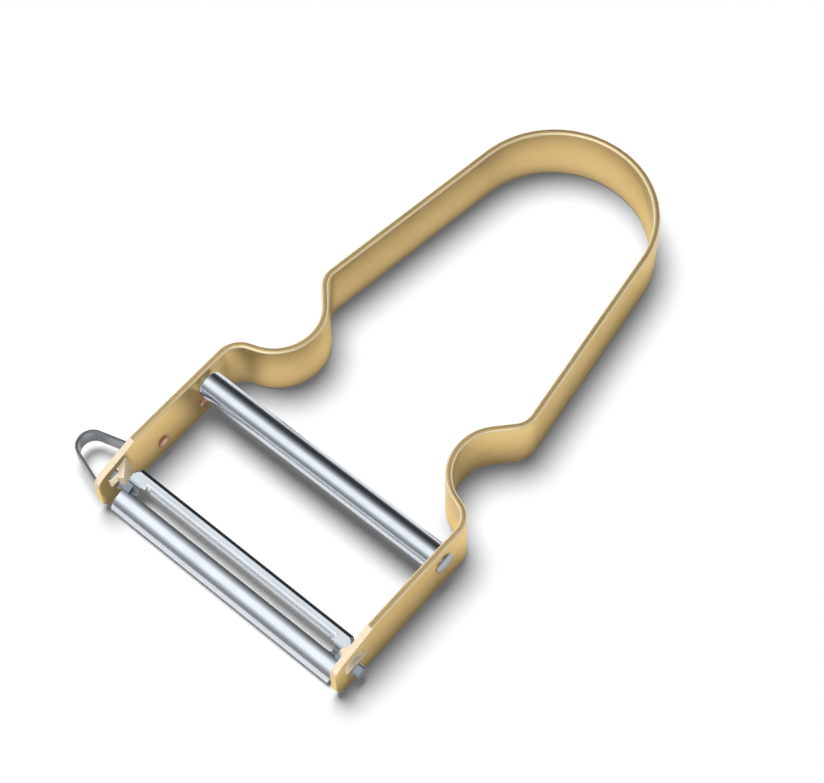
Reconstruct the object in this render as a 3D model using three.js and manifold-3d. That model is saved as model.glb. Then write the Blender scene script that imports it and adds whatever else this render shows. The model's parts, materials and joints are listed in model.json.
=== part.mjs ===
// Horseshoe vegetable peeler: a bent flat-strip handle, a cross bar between its arms, a slotted
// blade that swivels in the arm ends, and an eye-remover loop riveted to the left arm.
//
// Millimetres, +Z up, lying flat on the strip's edges. While it is being built, Y = 0 is the
// blade's swivel axis, +Y runs to the round end of the handle and X = 0 is the middle.

import * as THREE from "three";
import { mergeVertices } from "three/addons/utils/BufferGeometryUtils.js";
import Module from "manifold-3d";

const wasm = await Module();
wasm.setup();

// Handle strip: radii and centres are those of the formers that its middle line is bent round
const STRIP_WIDTH = 13;
const STRIP_THICKNESS = 1.25;
const STRIP_EDGE_ROUND = 0.36;
const ARM_CLEAR_WIDTH = 53.95;
const ARM_BEND_RADIUS = 4.5;
const NECK_HALF_WIDTH = 17.3;
const NECK_RADIUS = 9;
const NECK_CENTRE_Y = 40.6;
const NECK_RUN_FRONT = 1.4;
const NECK_RUN_BACK = 4;
const SHOULDER_RADIUS = 4.4;
const SHOULDER_CENTRE_X = 19.2;
const END_RADIUS = 18.6;
const END_CENTRE_Y = 88.9;

// Arm ends: round nose, sloping trimmed top edge, swivel hole and the stop pressed inward above it
const NOSE_REACH = 5.15;
const NOSE_TOP_RADIUS = 2.2;
const NOSE_BOTTOM_RADIUS = 3.5;
const TRIM_START_Y = 4.6;
const TRIM_STEP = 0.35;
const TRIM_FRONT_HEIGHT = 10.25;
const PIVOT_Z = 3.6;
const PIVOT_HOLE_DIAMETER = 2.8;
const STOP_REAR_Y = 1.9;
const STOP_ROOT_LEAN = 1;
const STOP_LENGTH = 3.4;
const STOP_ANGLE = 33;
const STOP_FRONT_HEIGHT = 2.8;
const STOP_TOP_WALL = 1.5;
const STOP_BOTTOM_WALL = 0.5;
const STOP_SLIT = 0.25;
const STOP_MOUTH = 1.1;
const STOP_CORNER_RADIUS = 0.4;

// Cross bar: shoulders against the arms, tenons peened over on the outside
const BAR_DIAMETER = 5.2;
const BAR_Y = 23;
const BAR_Z = 8.4;
const BAR_TENON_DIAMETER = 3.2;
const BAR_HEAD_DIAMETER = 4.2;
const BAR_HEAD_HEIGHT = 0.6;
const BAR_EDGE_BREAK = 0.25;

// Eye remover: a thin steel strip with its tail along the outside of the left arm
const LOOP_THICKNESS = 0.55;
const LOOP_HEIGHT = 3.5;
const LOOP_CENTRE_Z = 4.15;
const LOOP_REACH = 10.4;
const LOOP_TIP_RADIUS = 2.8;
const LOOP_TIP_Y = 1.25;
const LOOP_REAR_BEND_Y = 7.1;
const LOOP_REAR_BEND_RADIUS = 1.2;
const LOOP_FRONT_BEND_Y = -2.6;
const LOOP_FRONT_BEND_RADIUS = 0.9;
const LOOP_FOOT_LENGTH = 0.6;
const LOOP_TAIL_MARGIN = 1.9;
const RIVET_FRONT_Y = 10.5;
const RIVET_PITCH = 10.7;
const RIVET_SHANK_DIAMETER = 1.6;
const RIVET_HEAD_DIAMETER = 2.6;
const RIVET_HEAD_HEIGHT = 0.55;

// Blade, measured from the swivel axis in its own level frame: rear lip, slot, rounded front lip
const BLADE_REST_TILT = 26;
const BLADE_SIDE_GAP = 1.2;
const BLADE_SIDE_SHIFT = -0.4;
const BLADE_THICKNESS = 0.75;
const BLADE_RISE = 0.35;
const SLOT_WIDTH = 1.96;
const SLOT_CENTRE = 0.42;
const SLOT_END_LAND = 2.6;
const SLOT_CORNER_RADIUS = 0.6;
const REAR_LIP_WIDTH = 2.65;
const REAR_CORNER_CUT = 0.9;
const REAR_EDGE_BREAK = 0.5;
const GRIND_WIDTH = 1.35;
const GRIND_END_LAND = 0.9;
const CUTTING_EDGE = 0.15;
const FRONT_LIP_DROP = 0.6;
const FRONT_LIP_RADIUS = 2.93;
const FRONT_LIP_START_ANGLE = 40;
const FRONT_LIP_END_ANGLE = -49;
const TANG_WIDTH = 2.2;
const TANG_THICKNESS = 1.2;
const TANG_CORNER_RADIUS = 0.4;
const TANG_ROOT_LENGTH = 1.4;
const TANG_STANDOUT = 1.7;

// Clearances and mesh fineness
const SEAT_GAP = 0.12;
const HOLE_GAP = 0.15;
const CUT_MARGIN = 1;
const ARC_STEP = THREE.MathUtils.degToRad(7);
const ROUND_SIDES = 40;
const SMALL_ROUND_SIDES = 24;

// Places that several pieces share
const ARM_X = (ARM_CLEAR_WIDTH + STRIP_THICKNESS) / 2;
const ARM_INSIDE_X = ARM_CLEAR_WIDTH / 2;
const ARM_OUTSIDE_X = ARM_INSIDE_X + STRIP_THICKNESS;
const RIVET_REAR_Y = RIVET_FRONT_Y + RIVET_PITCH;

const GOLD_FINISH = { color: 0xc4a873, roughness: 0.38, metalness: 1 };
const BRIGHT_STEEL = { color: 0xd4d8dc, roughness: 0.16, metalness: 1 };
const BLADE_STEEL = { color: 0xdfe4ea, roughness: 0.24, metalness: 1 };
const DARK_STEEL = { color: 0x7f868c, roughness: 0.34, metalness: 1 };
const COPPER = { color: 0xc98f72, roughness: 0.36, metalness: 1 };

/** Turns a closed geometry into a solid that can be joined and cut. */
function solid(geometry) {
  geometry.deleteAttribute("normal");
  geometry.deleteAttribute("uv");
  const merged = mergeVertices(geometry, 1e-5);
  const vertProperties = new Float32Array(merged.attributes.position.array);
  const triVerts = new Uint32Array(merged.index.array);
  return new wasm.Manifold(new wasm.Mesh({ numProp: 3, vertProperties, triVerts }));
}

/** Named mesh of a finished solid, with its own material. */
function piece(name, body, finish) {
  const { vertProperties, triVerts } = body.getMesh();
  const geometry = new THREE.BufferGeometry();
  geometry.setAttribute("position", new THREE.BufferAttribute(vertProperties, 3));
  geometry.setIndex(new THREE.BufferAttribute(triVerts, 1));
  geometry.computeVertexNormals();
  const mesh = new THREE.Mesh(geometry, new THREE.MeshStandardMaterial(finish));
  mesh.name = name;
  return mesh;
}

/** Upright prism of a shape drawn in X and Y, from one height to another. */
function prismZ(shape, z0, z1) {
  const options = { depth: z1 - z0, bevelEnabled: false, curveSegments: 8 };
  return solid(new THREE.ExtrudeGeometry(shape, options).translate(0, 0, z0));
}

/** Prism of a shape drawn in Y and Z, lying along X from one place to another. */
function prismX(shape, x0, x1) {
  const options = { depth: x1 - x0, bevelEnabled: false, curveSegments: 8 };
  const turn = new THREE.Matrix4().makeBasis(
    new THREE.Vector3(0, 1, 0), new THREE.Vector3(0, 0, 1), new THREE.Vector3(1, 0, 0));
  return solid(new THREE.ExtrudeGeometry(shape, options).applyMatrix4(turn).translate(x0, 0, 0));
}

/** Turned solid about a line along X; the profile runs through [radius, x] from axis to axis. */
function turnedX(profile, y, z, sides) {
  const points = profile.map(([radius, along]) => new THREE.Vector2(radius, along));
  const geometry = new THREE.LatheGeometry(points, sides).rotateZ(-Math.PI / 2);
  return solid(geometry.translate(0, y, z));
}

/** Round cutter along X, through everything between two places. */
function drillX(diameter, x0, x1, y, z, sides) {
  const radius = diameter / 2;
  return turnedX([[0, x0], [radius, x0], [radius, x1], [0, x1]], y, z, sides);
}

/** Low dome from its rim to its crown, as [radius, x] points of a turned profile. */
function dome(diameter, height, base, direction, steps = 5) {
  const points = [];
  for (let i = 0; i <= steps; i += 1) {
    const angle = (i / steps) * Math.PI / 2;
    const radius = i === steps ? 0 : Math.cos(angle) * diameter / 2;
    points.push([radius, base + direction * Math.sin(angle) * height]);
  }
  return points;
}

/** Closed shape through corners, each rounded by an arc of its own radius. */
function filletedShape(corners) {
  const points = [];
  corners.forEach(({ at, radius }, i) => {
    if (radius === 0) {
      points.push(at);
      return;
    }
    const before = corners.at(i - 1).at.clone().sub(at).normalize();
    const after = corners[(i + 1) % corners.length].at.clone().sub(at).normalize();
    const half = Math.acos(THREE.MathUtils.clamp(before.dot(after), -1, 1)) / 2;
    const centre = before.clone().add(after).setLength(radius / Math.sin(half)).add(at);
    const reach = radius / Math.tan(half);
    const start = before.multiplyScalar(reach).add(at).sub(centre).angle();
    const end = after.multiplyScalar(reach).add(at).sub(centre).angle();
    const turn = THREE.MathUtils.euclideanModulo(end - start + Math.PI, 2 * Math.PI) - Math.PI;
    const steps = Math.max(2, Math.ceil(Math.abs(turn) / ARC_STEP));
    for (let k = 0; k <= steps; k += 1) {
      const angle = start + turn * k / steps;
      points.push(new THREE.Vector2(Math.cos(angle), Math.sin(angle)).multiplyScalar(radius).add(centre));
    }
  });
  return new THREE.Shape(points);
}

/** Closed shape through points, each corner rounded by the same radius. */
function roundedShape(points, radius) {
  return filletedShape(points.map((at) => ({ at, radius })));
}

/**
 * Stations along a strip that leaves `start` at `heading`, is bent round each former in turn and
 * runs on for `tail`. A former has a centre and a radius, which is negative for a right-hand bend.
 * Each station is a point of the middle line with the unit normal on its left.
 */
function bentLine(start, heading, formers, endHeading, tail) {
  const stations = [];
  const add = (point, angle) => {
    stations.push({ point, left: new THREE.Vector2(-Math.sin(angle), Math.cos(angle)) });
  };
  const onFormer = (former, angle) => new THREE.Vector2(
    former.x + former.radius * Math.sin(angle), former.y - former.radius * Math.cos(angle));
  add(start, heading);
  let angle = heading;
  formers.forEach((former, i) => {
    const next = formers[i + 1];
    let leave = endHeading;
    if (next) {
      const span = new THREE.Vector2(next.x - former.x, next.y - former.y);
      leave = span.angle() - Math.asin((next.radius - former.radius) / span.length());
    }
    const turnSign = Math.sign(former.radius);
    const fullTurn = 2 * Math.PI;
    const turn = turnSign * THREE.MathUtils.euclideanModulo(turnSign * (leave - angle), fullTurn);
    const steps = Math.max(2, Math.ceil(Math.abs(turn) / ARC_STEP));
    for (let k = 0; k <= steps; k += 1) {
      const at = angle + turn * k / steps;
      add(onFormer(former, at), at);
    }
    angle += turn;
  });
  const last = stations[stations.length - 1].point;
  const end = new THREE.Vector2(Math.cos(angle), Math.sin(angle)).multiplyScalar(tail).add(last);
  add(end, angle);
  return stations;
}

/** Plan shape of a strip of even thickness along stations of its middle line. */
function stripShape(stations, thickness) {
  const side = (offset) => stations.map(({ point, left }) => point.clone().addScaledVector(left, offset));
  return new THREE.Shape([...side(-thickness / 2), ...side(thickness / 2).reverse()]);
}

/** Middle line of the whole handle, up the right arm, round the end and down the left arm. */
function handleLine() {
  const neckX = NECK_HALF_WIDTH + NECK_RADIUS;
  const armBendX = ARM_X - ARM_BEND_RADIUS;
  const frontSpan = Math.hypot(NECK_RADIUS + ARM_BEND_RADIUS, NECK_RUN_FRONT);
  const backSpan = Math.hypot(NECK_RADIUS + SHOULDER_RADIUS, NECK_RUN_BACK);
  const armBendY = NECK_CENTRE_Y - Math.sqrt(frontSpan ** 2 - (neckX - armBendX) ** 2);
  const shoulderY = NECK_CENTRE_Y + Math.sqrt(backSpan ** 2 - (neckX - SHOULDER_CENTRE_X) ** 2);
  const rightHalf = [
    { x: armBendX, y: armBendY, radius: ARM_BEND_RADIUS },
    { x: neckX, y: NECK_CENTRE_Y, radius: -NECK_RADIUS },
    { x: SHOULDER_CENTRE_X, y: shoulderY, radius: SHOULDER_RADIUS },
  ];
  const leftHalf = rightHalf.map((former) => ({ ...former, x: -former.x })).reverse();
  const end = { x: 0, y: END_CENTRE_Y, radius: END_RADIUS };
  const tipY = -NOSE_REACH - CUT_MARGIN;
  const start = new THREE.Vector2(ARM_X, tipY);
  return bentLine(start, Math.PI / 2, [...rightHalf, end, ...leftHalf], -Math.PI / 2, armBendY - tipY);
}

/** Height of the trimmed top edge at a place along the arm. */
function trimHeight(y) {
  const share = (y + NOSE_REACH) / (TRIM_START_Y + NOSE_REACH);
  return TRIM_FRONT_HEIGHT + share * (STRIP_WIDTH - TRIM_STEP - TRIM_FRONT_HEIGHT);
}

/** Side outline of the whole handle in Y and Z: full height, trimmed edge and round nose. */
function handleSide() {
  const farY = END_CENTRE_Y + END_RADIUS + STRIP_THICKNESS + CUT_MARGIN;
  const corners = [
    { y: farY, z: -CUT_MARGIN, radius: 0 },
    { y: farY, z: STRIP_WIDTH + CUT_MARGIN, radius: 0 },
    { y: TRIM_START_Y, z: STRIP_WIDTH + CUT_MARGIN, radius: 0 },
    { y: TRIM_START_Y, z: trimHeight(TRIM_START_Y), radius: 0 },
    { y: -NOSE_REACH, z: trimHeight(-NOSE_REACH), radius: NOSE_TOP_RADIUS },
    { y: -NOSE_REACH, z: 0, radius: NOSE_BOTTOM_RADIUS },
    { y: NOSE_BOTTOM_RADIUS - NOSE_REACH, z: 0, radius: 0 },
    { y: NOSE_BOTTOM_RADIUS - NOSE_REACH, z: -CUT_MARGIN, radius: 0 },
  ];
  return filletedShape(corners.map(({ y, z, radius }) => ({ at: new THREE.Vector2(y, z), radius })));
}

/** Corners of the stop's tongue on the flat arm, or of the window round it, grown by a margin. */
function stopOutline(frontY, margin) {
  const low = PIVOT_Z + PIVOT_HOLE_DIAMETER / 2 + STOP_BOTTOM_WALL + STOP_SLIT;
  const high = trimHeight(STOP_REAR_Y) - STOP_TOP_WALL - STOP_SLIT;
  const rootY = (z) => STOP_REAR_Y + STOP_ROOT_LEAN * (high - z) / (high - low);
  return [
    new THREE.Vector2(rootY(low - margin), low - margin),
    new THREE.Vector2(rootY(high + margin), high + margin),
    new THREE.Vector2(frontY, low + STOP_FRONT_HEIGHT + margin),
    new THREE.Vector2(frontY, low - margin),
  ];
}

/** Tongue of the right arm's stop: cut free on three sides and turned inward about its root. */
function stopTongue() {
  const [rootLow, rootHigh, frontHigh, frontLow] = stopOutline(STOP_REAR_Y - STOP_LENGTH, 0);
  const flat = prismX(filletedShape([
    { at: rootLow, radius: 0 },
    { at: rootHigh, radius: 0 },
    { at: frontHigh, radius: STOP_CORNER_RADIUS },
    { at: frontLow, radius: STOP_CORNER_RADIUS },
  ]), -STRIP_THICKNESS / 2, STRIP_THICKNESS / 2);
  const root = new THREE.Vector3(0, rootHigh.x - rootLow.x, rootHigh.y - rootLow.y);
  const foot = new THREE.Vector3(0, rootLow.x, rootLow.y);
  const turn = new THREE.Matrix4().makeRotationAxis(
    root.clone().normalize(), THREE.MathUtils.degToRad(-STOP_ANGLE));
  const place = new THREE.Matrix4().makeTranslation(ARM_X, foot.y, foot.z);
  place.multiply(turn).multiply(new THREE.Matrix4().makeTranslation(0, -foot.y, -foot.z));
  const bend = new THREE.CylinderGeometry(
    STRIP_THICKNESS / 2, STRIP_THICKNESS / 2, root.length(), SMALL_ROUND_SIDES);
  const upright = new THREE.Quaternion().setFromUnitVectors(
    new THREE.Vector3(0, 1, 0), root.clone().normalize());
  const middle = foot.clone().addScaledVector(root, 1 / 2);
  bend.applyQuaternion(upright).translate(ARM_X, middle.y, middle.z);
  return flat.transform(place.elements).add(solid(bend));
}

/** Handle strip with both arm ends, their swivel holes and stops, and every rivet hole. */
function handleStrip() {
  const depth = STRIP_WIDTH - 2 * STRIP_EDGE_ROUND;
  const options = {
    depth,
    bevelThickness: STRIP_EDGE_ROUND,
    bevelSize: STRIP_EDGE_ROUND,
    bevelOffset: -STRIP_EDGE_ROUND,
    bevelSegments: 2,
  };
  const shape = stripShape(handleLine(), STRIP_THICKNESS);
  let body = solid(new THREE.ExtrudeGeometry(shape, options).translate(0, 0, STRIP_EDGE_ROUND));
  const farSide = ARM_OUTSIDE_X + NECK_RADIUS;
  body = body.intersect(prismX(handleSide(), -farSide, farSide));

  const outside = ARM_OUTSIDE_X + CUT_MARGIN;
  const inside = ARM_INSIDE_X - CUT_MARGIN;
  const mouthY = STOP_REAR_Y - STOP_LENGTH - STOP_MOUTH;
  const window = roundedShape(stopOutline(mouthY, STOP_SLIT), STOP_CORNER_RADIUS);
  const rightCuts = [
    prismX(window, inside, outside),
    drillX(PIVOT_HOLE_DIAMETER, inside, outside, 0, PIVOT_Z, SMALL_ROUND_SIDES),
    drillX(BAR_TENON_DIAMETER + 2 * HOLE_GAP, inside, outside, BAR_Y, BAR_Z, SMALL_ROUND_SIDES),
  ];
  const tongue = stopTongue();
  for (const cut of rightCuts) {
    body = body.subtract(cut).subtract(cut.mirror([1, 0, 0]));
  }
  for (const y of [RIVET_FRONT_Y, RIVET_REAR_Y]) {
    const diameter = RIVET_SHANK_DIAMETER + 2 * HOLE_GAP;
    body = body.subtract(drillX(diameter, -outside, -inside, y, LOOP_CENTRE_Z, SMALL_ROUND_SIDES));
  }
  return body.add(tongue).add(tongue.mirror([1, 0, 0]));
}

/** Cross bar with a shouldered tenon and a low peened head at each end. */
function crossBar() {
  const shoulder = ARM_INSIDE_X - SEAT_GAP;
  const seat = ARM_OUTSIDE_X + SEAT_GAP;
  const rightHalf = [
    [BAR_DIAMETER / 2, shoulder - BAR_EDGE_BREAK],
    [BAR_DIAMETER / 2 - BAR_EDGE_BREAK, shoulder],
    [BAR_TENON_DIAMETER / 2, shoulder],
    [BAR_TENON_DIAMETER / 2, seat],
    ...dome(BAR_HEAD_DIAMETER, BAR_HEAD_HEIGHT, seat, 1),
  ];
  const leftHalf = rightHalf.map(([radius, along]) => [radius, -along]).reverse();
  return turnedX([...leftHalf, ...rightHalf], BAR_Y, BAR_Z, ROUND_SIDES);
}

/** Middle plane of the eye remover's tail, outside the left arm. */
function tailX() {
  return -(ARM_OUTSIDE_X + SEAT_GAP + LOOP_THICKNESS / 2);
}

/** Eye remover: tail along the arm, out round the tip and back to a short foot near the nose. */
function eyeRemover() {
  const tipX = -(ARM_OUTSIDE_X + LOOP_REACH - LOOP_THICKNESS / 2 - LOOP_TIP_RADIUS);
  const formers = [
    { x: tailX() - LOOP_REAR_BEND_RADIUS, y: LOOP_REAR_BEND_Y, radius: -LOOP_REAR_BEND_RADIUS },
    { x: tipX, y: LOOP_TIP_Y, radius: LOOP_TIP_RADIUS },
    { x: tailX() - LOOP_FRONT_BEND_RADIUS, y: LOOP_FRONT_BEND_Y, radius: LOOP_FRONT_BEND_RADIUS },
  ];
  const start = new THREE.Vector2(tailX(), RIVET_REAR_Y + LOOP_TAIL_MARGIN);
  const line = bentLine(start, -Math.PI / 2, formers, Math.PI / 2, LOOP_FOOT_LENGTH);
  const low = LOOP_CENTRE_Z - LOOP_HEIGHT / 2;
  let body = prismZ(stripShape(line, LOOP_THICKNESS), low, low + LOOP_HEIGHT);
  for (const y of [RIVET_FRONT_Y, RIVET_REAR_Y]) {
    const diameter = RIVET_SHANK_DIAMETER + 2 * HOLE_GAP;
    const x0 = tailX() - CUT_MARGIN;
    body = body.subtract(drillX(diameter, x0, -ARM_INSIDE_X, y, LOOP_CENTRE_Z, SMALL_ROUND_SIDES));
  }
  return body;
}

/** Rivet through the eye remover's tail and the left arm, with a low head on both sides. */
function loopRivet(y) {
  const insideSeat = -(ARM_INSIDE_X - SEAT_GAP);
  const outsideSeat = tailX() - LOOP_THICKNESS / 2 - SEAT_GAP;
  const profile = [
    ...dome(RIVET_HEAD_DIAMETER, RIVET_HEAD_HEIGHT, outsideSeat, -1).reverse(),
    [RIVET_SHANK_DIAMETER / 2, outsideSeat],
    [RIVET_SHANK_DIAMETER / 2, insideSeat],
    ...dome(RIVET_HEAD_DIAMETER, RIVET_HEAD_HEIGHT, insideSeat, 1),
  ];
  return turnedX(profile, y, LOOP_CENTRE_Z, SMALL_ROUND_SIDES);
}

/** Section of the blade sheet: flat rear lip, the step down across the slot and the rounded front lip. */
function bladeSection() {
  const half = BLADE_THICKNESS / 2;
  const slotRear = SLOT_CENTRE + SLOT_WIDTH / 2;
  const rear = slotRear + REAR_LIP_WIDTH;
  const startAngle = THREE.MathUtils.degToRad(FRONT_LIP_START_ANGLE);
  const endAngle = THREE.MathUtils.degToRad(FRONT_LIP_END_ANGLE);
  const frontStart = SLOT_CENTRE - SLOT_WIDTH / 2 - half * Math.sin(startAngle);
  const centre = new THREE.Vector2(
    frontStart - FRONT_LIP_RADIUS * Math.sin(startAngle),
    BLADE_RISE - FRONT_LIP_DROP - FRONT_LIP_RADIUS * Math.cos(startAngle));
  const top = [rear, slotRear].map((y) => new THREE.Vector2(y, BLADE_RISE + half));
  const under = [rear, slotRear].map((y) => new THREE.Vector2(y, BLADE_RISE - half));
  const steps = Math.ceil((startAngle - endAngle) / ARC_STEP);
  for (let i = 0; i <= steps; i += 1) {
    const angle = startAngle + (endAngle - startAngle) * i / steps;
    const out = new THREE.Vector2(Math.sin(angle), Math.cos(angle));
    top.push(centre.clone().addScaledVector(out, FRONT_LIP_RADIUS + half));
    under.push(centre.clone().addScaledVector(out, FRONT_LIP_RADIUS - half));
  }
  return new THREE.Shape([...top, ...under.reverse()]);
}

/** Slotted blade, level, with its swivel axis along X through the origin. */
function swivelBlade() {
  const halfLength = ARM_INSIDE_X - BLADE_SIDE_GAP;
  const slotRear = SLOT_CENTRE + SLOT_WIDTH / 2;
  const slotFront = SLOT_CENTRE - SLOT_WIDTH / 2;
  const rear = slotRear + REAR_LIP_WIDTH;
  const top = BLADE_RISE + BLADE_THICKNESS / 2;
  const under = BLADE_RISE - BLADE_THICKNESS / 2;
  const reachZ = FRONT_LIP_RADIUS + CUT_MARGIN;
  let body = prismX(bladeSection(), -halfLength, halfLength);

  const slotEnd = halfLength - SLOT_END_LAND;
  const slot = roundedShape([
    new THREE.Vector2(-slotEnd, slotFront),
    new THREE.Vector2(slotEnd, slotFront),
    new THREE.Vector2(slotEnd, slotRear),
    new THREE.Vector2(-slotEnd, slotRear),
  ], SLOT_CORNER_RADIUS);
  body = body.subtract(prismZ(slot, -reachZ, reachZ));

  const grindHalf = slotEnd - GRIND_END_LAND;
  const slope = (BLADE_THICKNESS - CUTTING_EDGE) / GRIND_WIDTH;
  const grind = new THREE.Shape([
    new THREE.Vector2(slotRear + GRIND_WIDTH, top),
    new THREE.Vector2(slotRear + GRIND_WIDTH, top + CUT_MARGIN),
    new THREE.Vector2(slotRear - SLOT_WIDTH / 2, top + CUT_MARGIN),
    new THREE.Vector2(slotRear - SLOT_WIDTH / 2, under + CUTTING_EDGE - slope * SLOT_WIDTH / 2),
  ]);
  body = body.subtract(prismX(grind, -grindHalf, grindHalf));

  const rearBreak = new THREE.Shape([
    new THREE.Vector2(rear - REAR_EDGE_BREAK - CUT_MARGIN, top + CUT_MARGIN),
    new THREE.Vector2(rear + CUT_MARGIN, top - REAR_EDGE_BREAK - CUT_MARGIN),
    new THREE.Vector2(rear + CUT_MARGIN, top + CUT_MARGIN),
  ]);
  body = body.subtract(prismX(rearBreak, -halfLength - CUT_MARGIN, halfLength + CUT_MARGIN));

  const corner = new THREE.Shape([
    new THREE.Vector2(halfLength - REAR_CORNER_CUT, rear + CUT_MARGIN),
    new THREE.Vector2(halfLength - REAR_CORNER_CUT, rear),
    new THREE.Vector2(halfLength, rear - REAR_CORNER_CUT),
    new THREE.Vector2(halfLength + CUT_MARGIN, rear - REAR_CORNER_CUT),
    new THREE.Vector2(halfLength + CUT_MARGIN, rear + CUT_MARGIN),
  ].reverse());
  const cut = prismZ(corner, -reachZ, reachZ);
  body = body.subtract(cut).subtract(cut.mirror([1, 0, 0]));

  const tangCorners = [[1, 1], [-1, 1], [-1, -1], [1, -1]].map(
    ([y, z]) => new THREE.Vector2(y * TANG_WIDTH / 2, z * TANG_THICKNESS / 2));
  const tangEnd = ARM_OUTSIDE_X + TANG_STANDOUT;
  const tang = prismX(roundedShape(tangCorners, TANG_CORNER_RADIUS), halfLength - TANG_ROOT_LENGTH, tangEnd);
  return body.add(tang).add(tang.mirror([1, 0, 0]));
}

const peeler = new THREE.Group();
peeler.add(piece("handle_strip", handleStrip(), GOLD_FINISH));
peeler.add(piece("cross_bar", crossBar(), BRIGHT_STEEL));
peeler.add(piece("eye_remover", eyeRemover(), DARK_STEEL));
peeler.add(piece("loop_rivet_front", loopRivet(RIVET_FRONT_Y), COPPER));
peeler.add(piece("loop_rivet_rear", loopRivet(RIVET_REAR_Y), COPPER));

const swivel = new THREE.Group();
swivel.position.set(BLADE_SIDE_SHIFT, 0, PIVOT_Z);
swivel.rotation.x = THREE.MathUtils.degToRad(BLADE_REST_TILT);
swivel.add(piece("swivel_blade", swivelBlade(), BLADE_STEEL));
peeler.add(swivel);

// The part's origin is the middle of its footprint, on the surface that it lies on
const box = new THREE.Box3().setFromObject(peeler, true);
const middle = box.getCenter(new THREE.Vector3());
peeler.position.set(-middle.x, -middle.y, -box.min.z);

const part = new THREE.Group();
part.add(peeler);

export default part;
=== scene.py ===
"""Visible pieces of a horseshoe vegetable peeler, built round its CAD frame.

The file is laid out as an add-on and is run as a script. Lengths are metres. Shapes are drawn in the
peeler's working frame, where the blade's swivel axis is Y = 0 and X = 0 is the middle.
"""

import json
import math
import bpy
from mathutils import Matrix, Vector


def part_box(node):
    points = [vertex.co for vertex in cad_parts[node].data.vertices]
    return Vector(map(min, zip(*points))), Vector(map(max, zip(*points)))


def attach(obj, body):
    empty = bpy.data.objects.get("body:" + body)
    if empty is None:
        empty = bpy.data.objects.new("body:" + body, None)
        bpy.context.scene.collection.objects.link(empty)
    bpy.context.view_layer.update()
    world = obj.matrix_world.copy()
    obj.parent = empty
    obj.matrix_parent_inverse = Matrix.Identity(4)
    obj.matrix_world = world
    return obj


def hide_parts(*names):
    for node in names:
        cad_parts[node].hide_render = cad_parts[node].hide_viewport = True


bl_info = {
    "name": "Vegetable peeler",
    "version": (1, 0, 0),
    "blender": (4, 5, 0),
    "location": "3D View > Sidebar > Peeler",
    "description": "Builds the pieces, finishes and stage of a horseshoe vegetable peeler",
    "category": "Object",
}

import bmesh
import bpy
from bpy.props import FloatProperty, FloatVectorProperty, IntProperty, PointerProperty
from mathutils import Matrix, Vector
from mathutils.geometry import delaunay_2d_cdt

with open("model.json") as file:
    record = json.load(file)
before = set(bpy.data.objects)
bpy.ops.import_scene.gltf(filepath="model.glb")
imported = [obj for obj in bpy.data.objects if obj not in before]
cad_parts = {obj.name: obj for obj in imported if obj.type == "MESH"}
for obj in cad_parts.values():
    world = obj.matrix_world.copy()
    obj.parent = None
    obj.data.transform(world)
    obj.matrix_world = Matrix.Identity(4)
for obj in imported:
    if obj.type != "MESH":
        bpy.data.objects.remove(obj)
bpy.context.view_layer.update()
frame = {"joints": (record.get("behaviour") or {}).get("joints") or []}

MM = 0.001
PIVOT = Vector(frame["joints"][0]["pos_m"])
STRIP_LOW, STRIP_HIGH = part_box("handle_strip")
BAR_LOW, BAR_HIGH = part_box("cross_bar")
LOOP_LOW, LOOP_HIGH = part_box("eye_remover")
RIVET_LOW, RIVET_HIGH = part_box("loop_rivet_front")
BAR_MIDDLE = (BAR_LOW + BAR_HIGH) / 2
LOOP_MIDDLE = (LOOP_LOW + LOOP_HIGH) / 2
RIVET_MIDDLE = (RIVET_LOW + RIVET_HIGH) / 2
ARM_OUTSIDE = STRIP_HIGH.x - PIVOT.x
STRIP_PIECE = "gold_strip"

# Steps round the bends and corners
BEND_STEP = math.radians(2)
NOSE_STEP = math.radians(4)
CORNER_STEP = math.radians(6)
BLADE_CORNER_STEP = math.radians(9)
TANG_CORNER_STEP = math.radians(10)
TONGUE_CORNER_STEP = math.radians(12)
TANG_TIP_TURNS = (0.4, 0.8, 1.2, math.pi / 2)

# Points and rows of the meshes
HOLE_POINTS = 40
EDGE_ROWS = 4
STRIP_EDGE_POINTS = 4
DOME_ROWS = 8
SHOULDER_ROWS = 5
BAR_SEGMENTS = 96
RIVET_SEGMENTS = 48
LIP_ROWS = 30
GRIND_ROWS = 6
SHEET_COLUMNS = 130
LAND_ROWS = 14
LAND_COLUMNS = 8
TONGUE_GRID = 0.16 * MM
BLADE_EDGE_STEP = 0.5 * MM
SLOT_EDGE_STEP = 0.25 * MM
CLEAR_RADII = 3

# A mitre is worked out with at least this cosine
MITRE_LIMIT = 0.5

# Flat faces are filled only within their limits, and points this close are one
WITHIN_LIMITS = 1
SAME_POINT = 1e-8

# Doubles within this distance are merged, and edges past these angles stay sharp
WELD = 0.002 * MM
SHARP = math.radians(38)
BLADE_SHARP = math.radians(25)

# Faces of the strip that lean up or down by more than the first are its edges, past the second their flats
EDGE_LEAN = 0.1
FLAT_LEAN = 0.97

# Places of the finishes among the materials of the strip, the bar and the blade
# The strip's third finish is a painted highlight on the corners of its narrow edges, and its fourth a
# painted shade on their flats
GOLD, BRIGHT_CUT, LIT_CORNER, SHADED_FLAT = range(4)
POLISHED, PEENED = range(2)
SHEET, SHEARED, GROUND, LIT_LIP, TANG = range(5)

# Noise between these values is what the finishes follow
NOISE_RANGE = (0.3, 0.7)
SOFT_NOISE_RANGE = (0.2, 0.8)
CLOUD_DETAIL = 3.0
MARK_DETAIL = 4.0
NOISE_ROUGHNESS = 0.55

# Tint of the gold's sheen
SHEEN = (0.90, 0.86, 0.64)

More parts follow.
